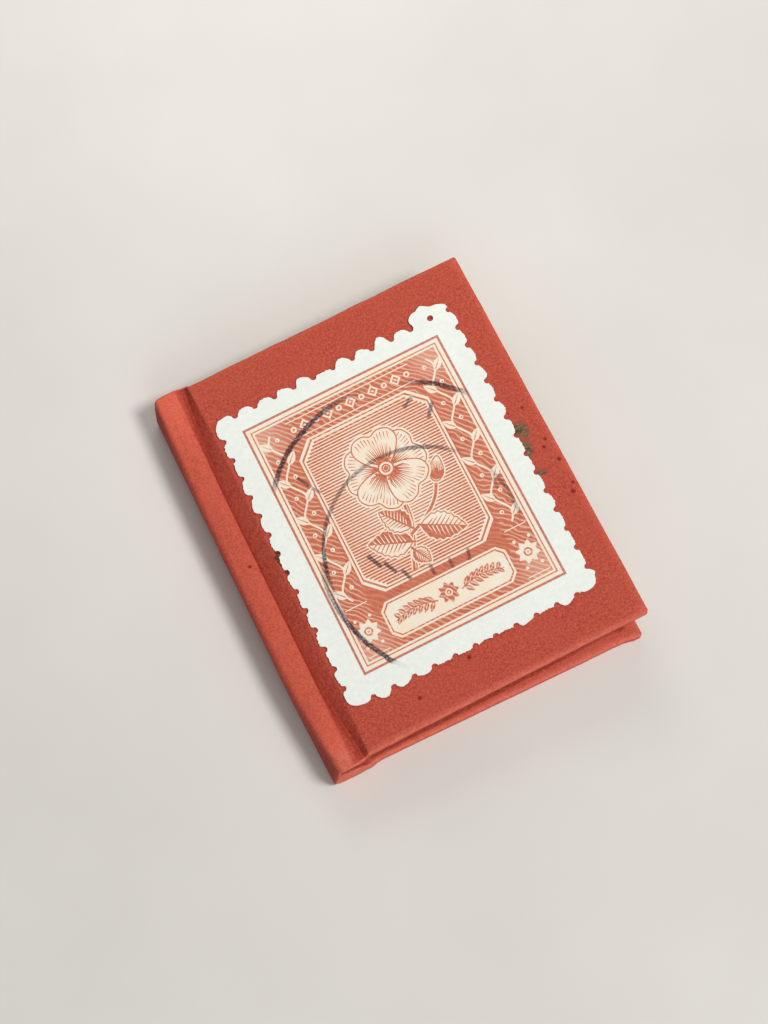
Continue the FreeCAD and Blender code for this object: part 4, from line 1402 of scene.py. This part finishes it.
# the bud
bud = placed2(spline([(0.0, 0.30), (0.55, 0.52), (1.25, 0.36), (1.75, 0.0), (1.25, -0.36), (0.55, -0.52), (0.0, -0.30), (-0.15, 0.0)], 4, True), 2.95, 0.35, math.radians(62))
bare(swell(bud, 0.16))
ink(swell(bud, 0.05))
bare(swell(bud, -0.03))
for k in range(-3, 4):
    a = np.array([(0.2, 0.10 * k), (0.8, 0.125 * k), (1.35, 0.085 * k)])
    ink(ribbon(placed2(a, 2.95, 0.35, math.radians(62)), (0.05, 0.034, 0.008)))
for a in (-0.55, 0.0, 0.55):
    ink(placed2(leaf_shape(1.0, 0.20), 2.93, 0.30, math.radians(62) + a))
# the open flower: petals overlap in turn, each with fine strokes from its foot and its rim
FX, FY, FR = 0.10, 2.75, 2.85
turns = [math.radians(90 + 72 * k) for k in range(5)]
for order, a in enumerate([turns[1], turns[4], turns[2], turns[3], turns[0]]):
    shape = placed2(PETAL, FX, FY, a, FR)
    if order == 0:
        for b in turns:
            bare(swell(placed2(PETAL, FX, FY, b, FR), 0.20))
    ink(swell(shape, 0.055))
    bare(swell(shape, -0.03))
    for k in range(-7, 8):
        t = k / 7.0
        reach = 0.30 + 0.22 * (1 - t * t) + 0.05 * (k % 2)
        line = np.array([(0.14, 0.10 * t), (0.14 + reach * 0.5, 0.30 * t), (0.14 + reach, 0.50 * t * (0.7 + 0.3 * (1 - t * t)))])
        ink(ribbon(placed2(line, FX, FY, a, FR), (0.050, 0.036, 0.006)))
    for k in range(-5, 6):
        t = k / 5.5
        tip = 0.99 - 0.09 * abs(abs(t) * 2 - 1) - (0.06 if abs(k) < 1 else 0.0)
        line = np.array([(tip - 0.03, 0.50 * t), (tip - 0.12, 0.47 * t), (tip - 0.22 - 0.03 * (k % 2), 0.44 * t)])
        ink(ribbon(placed2(line, FX, FY, a, FR), (0.034, 0.026, 0.006)))
ink(disc(FX, FY, 0.62, 22))
bare(disc(FX, FY, 0.50, 20))
ink(disc(FX, FY, 0.34, 16))
for k in range(8):
    a = 2 * math.pi * k / 8
    bare(disc(FX + 0.20 * math.cos(a), FY + 0.20 * math.sin(a), 0.05, 8))
for k in range(20):
    a = 2 * math.pi * k / 20 + 0.1
    r = 0.98 if k % 2 else 0.84
    ink(ribbon(np.array([(FX + 0.58 * math.cos(a), FY + 0.58 * math.sin(a)), (FX + r * math.cos(a), FY + r * math.sin(a))]), 0.020))
    ink(disc(FX + r * math.cos(a), FY + r * math.sin(a), 0.075, 8))

points, loops = [], []
for shape, _ in layers:
    loops.append(list(range(len(points), len(points) + len(shape))))
    points.extend(shape.tolist())
pv, pt, ids = cdt(points, loops)
inked = [t for t, i in zip(pt, ids) if i and layers[max(i)][1]]
flat = from_art(pv)
v, f = prism(flat, inked, np.full(len(flat), STAMP_TOP + 0.012), np.full(len(flat), STAMP_TOP - 0.006))
ob = add_mesh("stamp_print", turn(v, FRONT_PIN, AJAR), f, v, INK, sharp=30, art=art_of(v))
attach(ob, "front_cover")


# ------------------------------------------------------------------ paste that squeezed out beside the stamp
def smear(name, cx, cy, rx, ry, lean, height, seed, sheer):
    rng = np.random.default_rng(seed)
    n, m = 56, 9
    ph = rng.uniform(0, 6.28, 6)
    verts, faces, thin = [], [], []
    c, s = math.cos(lean), math.sin(lean)
    for i in range(1, m + 1):
        t = i / m
        for k in range(n):
            a = 2 * math.pi * k / n
            edge = 1 + sum(w * math.sin(o * a + q) for w, o, q in zip((0.15, 0.12, 0.08, 0.05, 0.025, 0.015), (2, 3, 5, 8, 13, 19), ph))
            z = height * (1 - t ** 3) * (0.75 + 0.25 * math.sin(3 * a + 4 * t + ph[1])) if i < m else 0.0
            x, y = rx * edge * t * math.cos(a), ry * edge * t * math.sin(a)
            verts.append((cx + x * c - y * s, cy + x * s + y * c, THICK + 0.012 + z))
            thin.append(sheer + (1 - sheer) * t)
    for i in range(m - 1):
        for k in range(n):
            j = (k + 1) % n
            faces.append((i * n + k, (i + 1) * n + k, (i + 1) * n + j, i * n + j))
    verts.append((cx, cy, THICK + 0.012 + height * 0.85))
    thin.append(sheer)
    hub = len(verts) - 1
    for k in range(n):
        faces.append((hub, k, (k + 1) % n))
    base = len(verts)
    for k in range(n):
        x, y, _ = verts[(m - 1) * n + k]
        verts.append((x, y, THICK - 0.03))
        thin.append(1.0)
    for k in range(n):
        j = (k + 1) % n
        faces.append(((m - 1) * n + k, base + k, base + j, (m - 1) * n + j))
    faces.append(tuple(base + k for k in reversed(range(n))))
    v = np.array(verts)
    v[:, 0] += JOINT_X
    v[:, 1] += FRONT_Y[0]
    ob = add_mesh(name, turn(v, FRONT_PIN, AJAR), faces, v, SMEAR, {"wear": thin}, sharp=60)
    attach(ob, "front_cover")


smear("paste_smear_1", 20.22, 15.98, 0.68, 0.80, 0.0, 0.030, 1, 0.0)
smear("paste_smear_2", 19.98, 14.55, 0.40, 0.98, 0.12, 0.026, 2, 0.15)
smear("paste_smear_3", 20.05, 12.45, 0.58, 0.36, -0.35, 0.020, 3, 0.45)

# ------------------------------------------------------------------ floor, light and camera
scene = bpy.context.scene
f = Finish("floor_card", 0.85, 0.2)
p = f.scaled(f.node("ShaderNodeTexCoord").outputs["Object"], (1000, 1000, 1000))
n = f.noise(p, 0.05, 3.0)
f.colour(f.ramp(n, [(0.3, srgb(222, 219, 213)), (0.7, srgb(228, 225, 220))]))
me = bpy.data.meshes.new("floor")
me.from_pydata([(-1, -1, -0.00002), (1, -1, -0.00002), (1, 1, -0.00002), (-1, 1, -0.00002)], [], [(0, 1, 2, 3)])
floor = bpy.data.objects.new("floor", me)
scene.collection.objects.link(floor)
me.materials.append(f.m)

world = bpy.data.worlds.new("studio")
scene.world = world
world.use_nodes = True
back = world.node_tree.nodes["Background"]
back.inputs[0].default_value = (0.93, 0.96, 1.0, 1.0)
back.inputs[1].default_value = 0.22


def area(name, place, at, size, power, colour=(1, 1, 1)):
    light = bpy.data.lights.new(name, "AREA")
    light.shape = "DISK"
    light.size = size
    light.energy = power
    light.color = colour
    o = bpy.data.objects.new(name, light)
    scene.collection.objects.link(o)
    o.location = place
    o.visible_camera = False
    o.rotation_mode = "QUATERNION"
    o.rotation_quaternion = (Vector(at) - Vector(place)).to_track_quat("-Z", "Y")
    return o


area("key", (0.165, -0.120, 0.350), (0, 0, 0), 0.12, 0.98, (1.0, 0.98, 0.95))
area("fill_head", (0.012, 0.066, 0.058), (0, 0.006, 0), 0.05, 0.020, (1.0, 0.96, 0.88))
area("fill_tail", (-0.02, -0.35, 0.24), (0, 0, 0), 0.30, 0.40, (1.0, 0.985, 0.96))

cam = bpy.data.cameras.new("camera")
cam.sensor_width = 36.0
cam.lens = 70.3125
cam.clip_start = 0.005
cam.clip_end = 20.0
eye = bpy.data.objects.new("camera", cam)
scene.collection.objects.link(eye)
eye.matrix_world = Matrix(((0.8985555, 0.4188097, -0.1311353, -0.0197269),
                           (-0.4388452, 0.8550292, -0.2762968, -0.0396531),
                           (-0.0035912, 0.3058161, 0.9520838, 0.1412720),
                           (0, 0, 0, 1)))
scene.camera = eye
scene.view_settings.view_transform = "Standard"
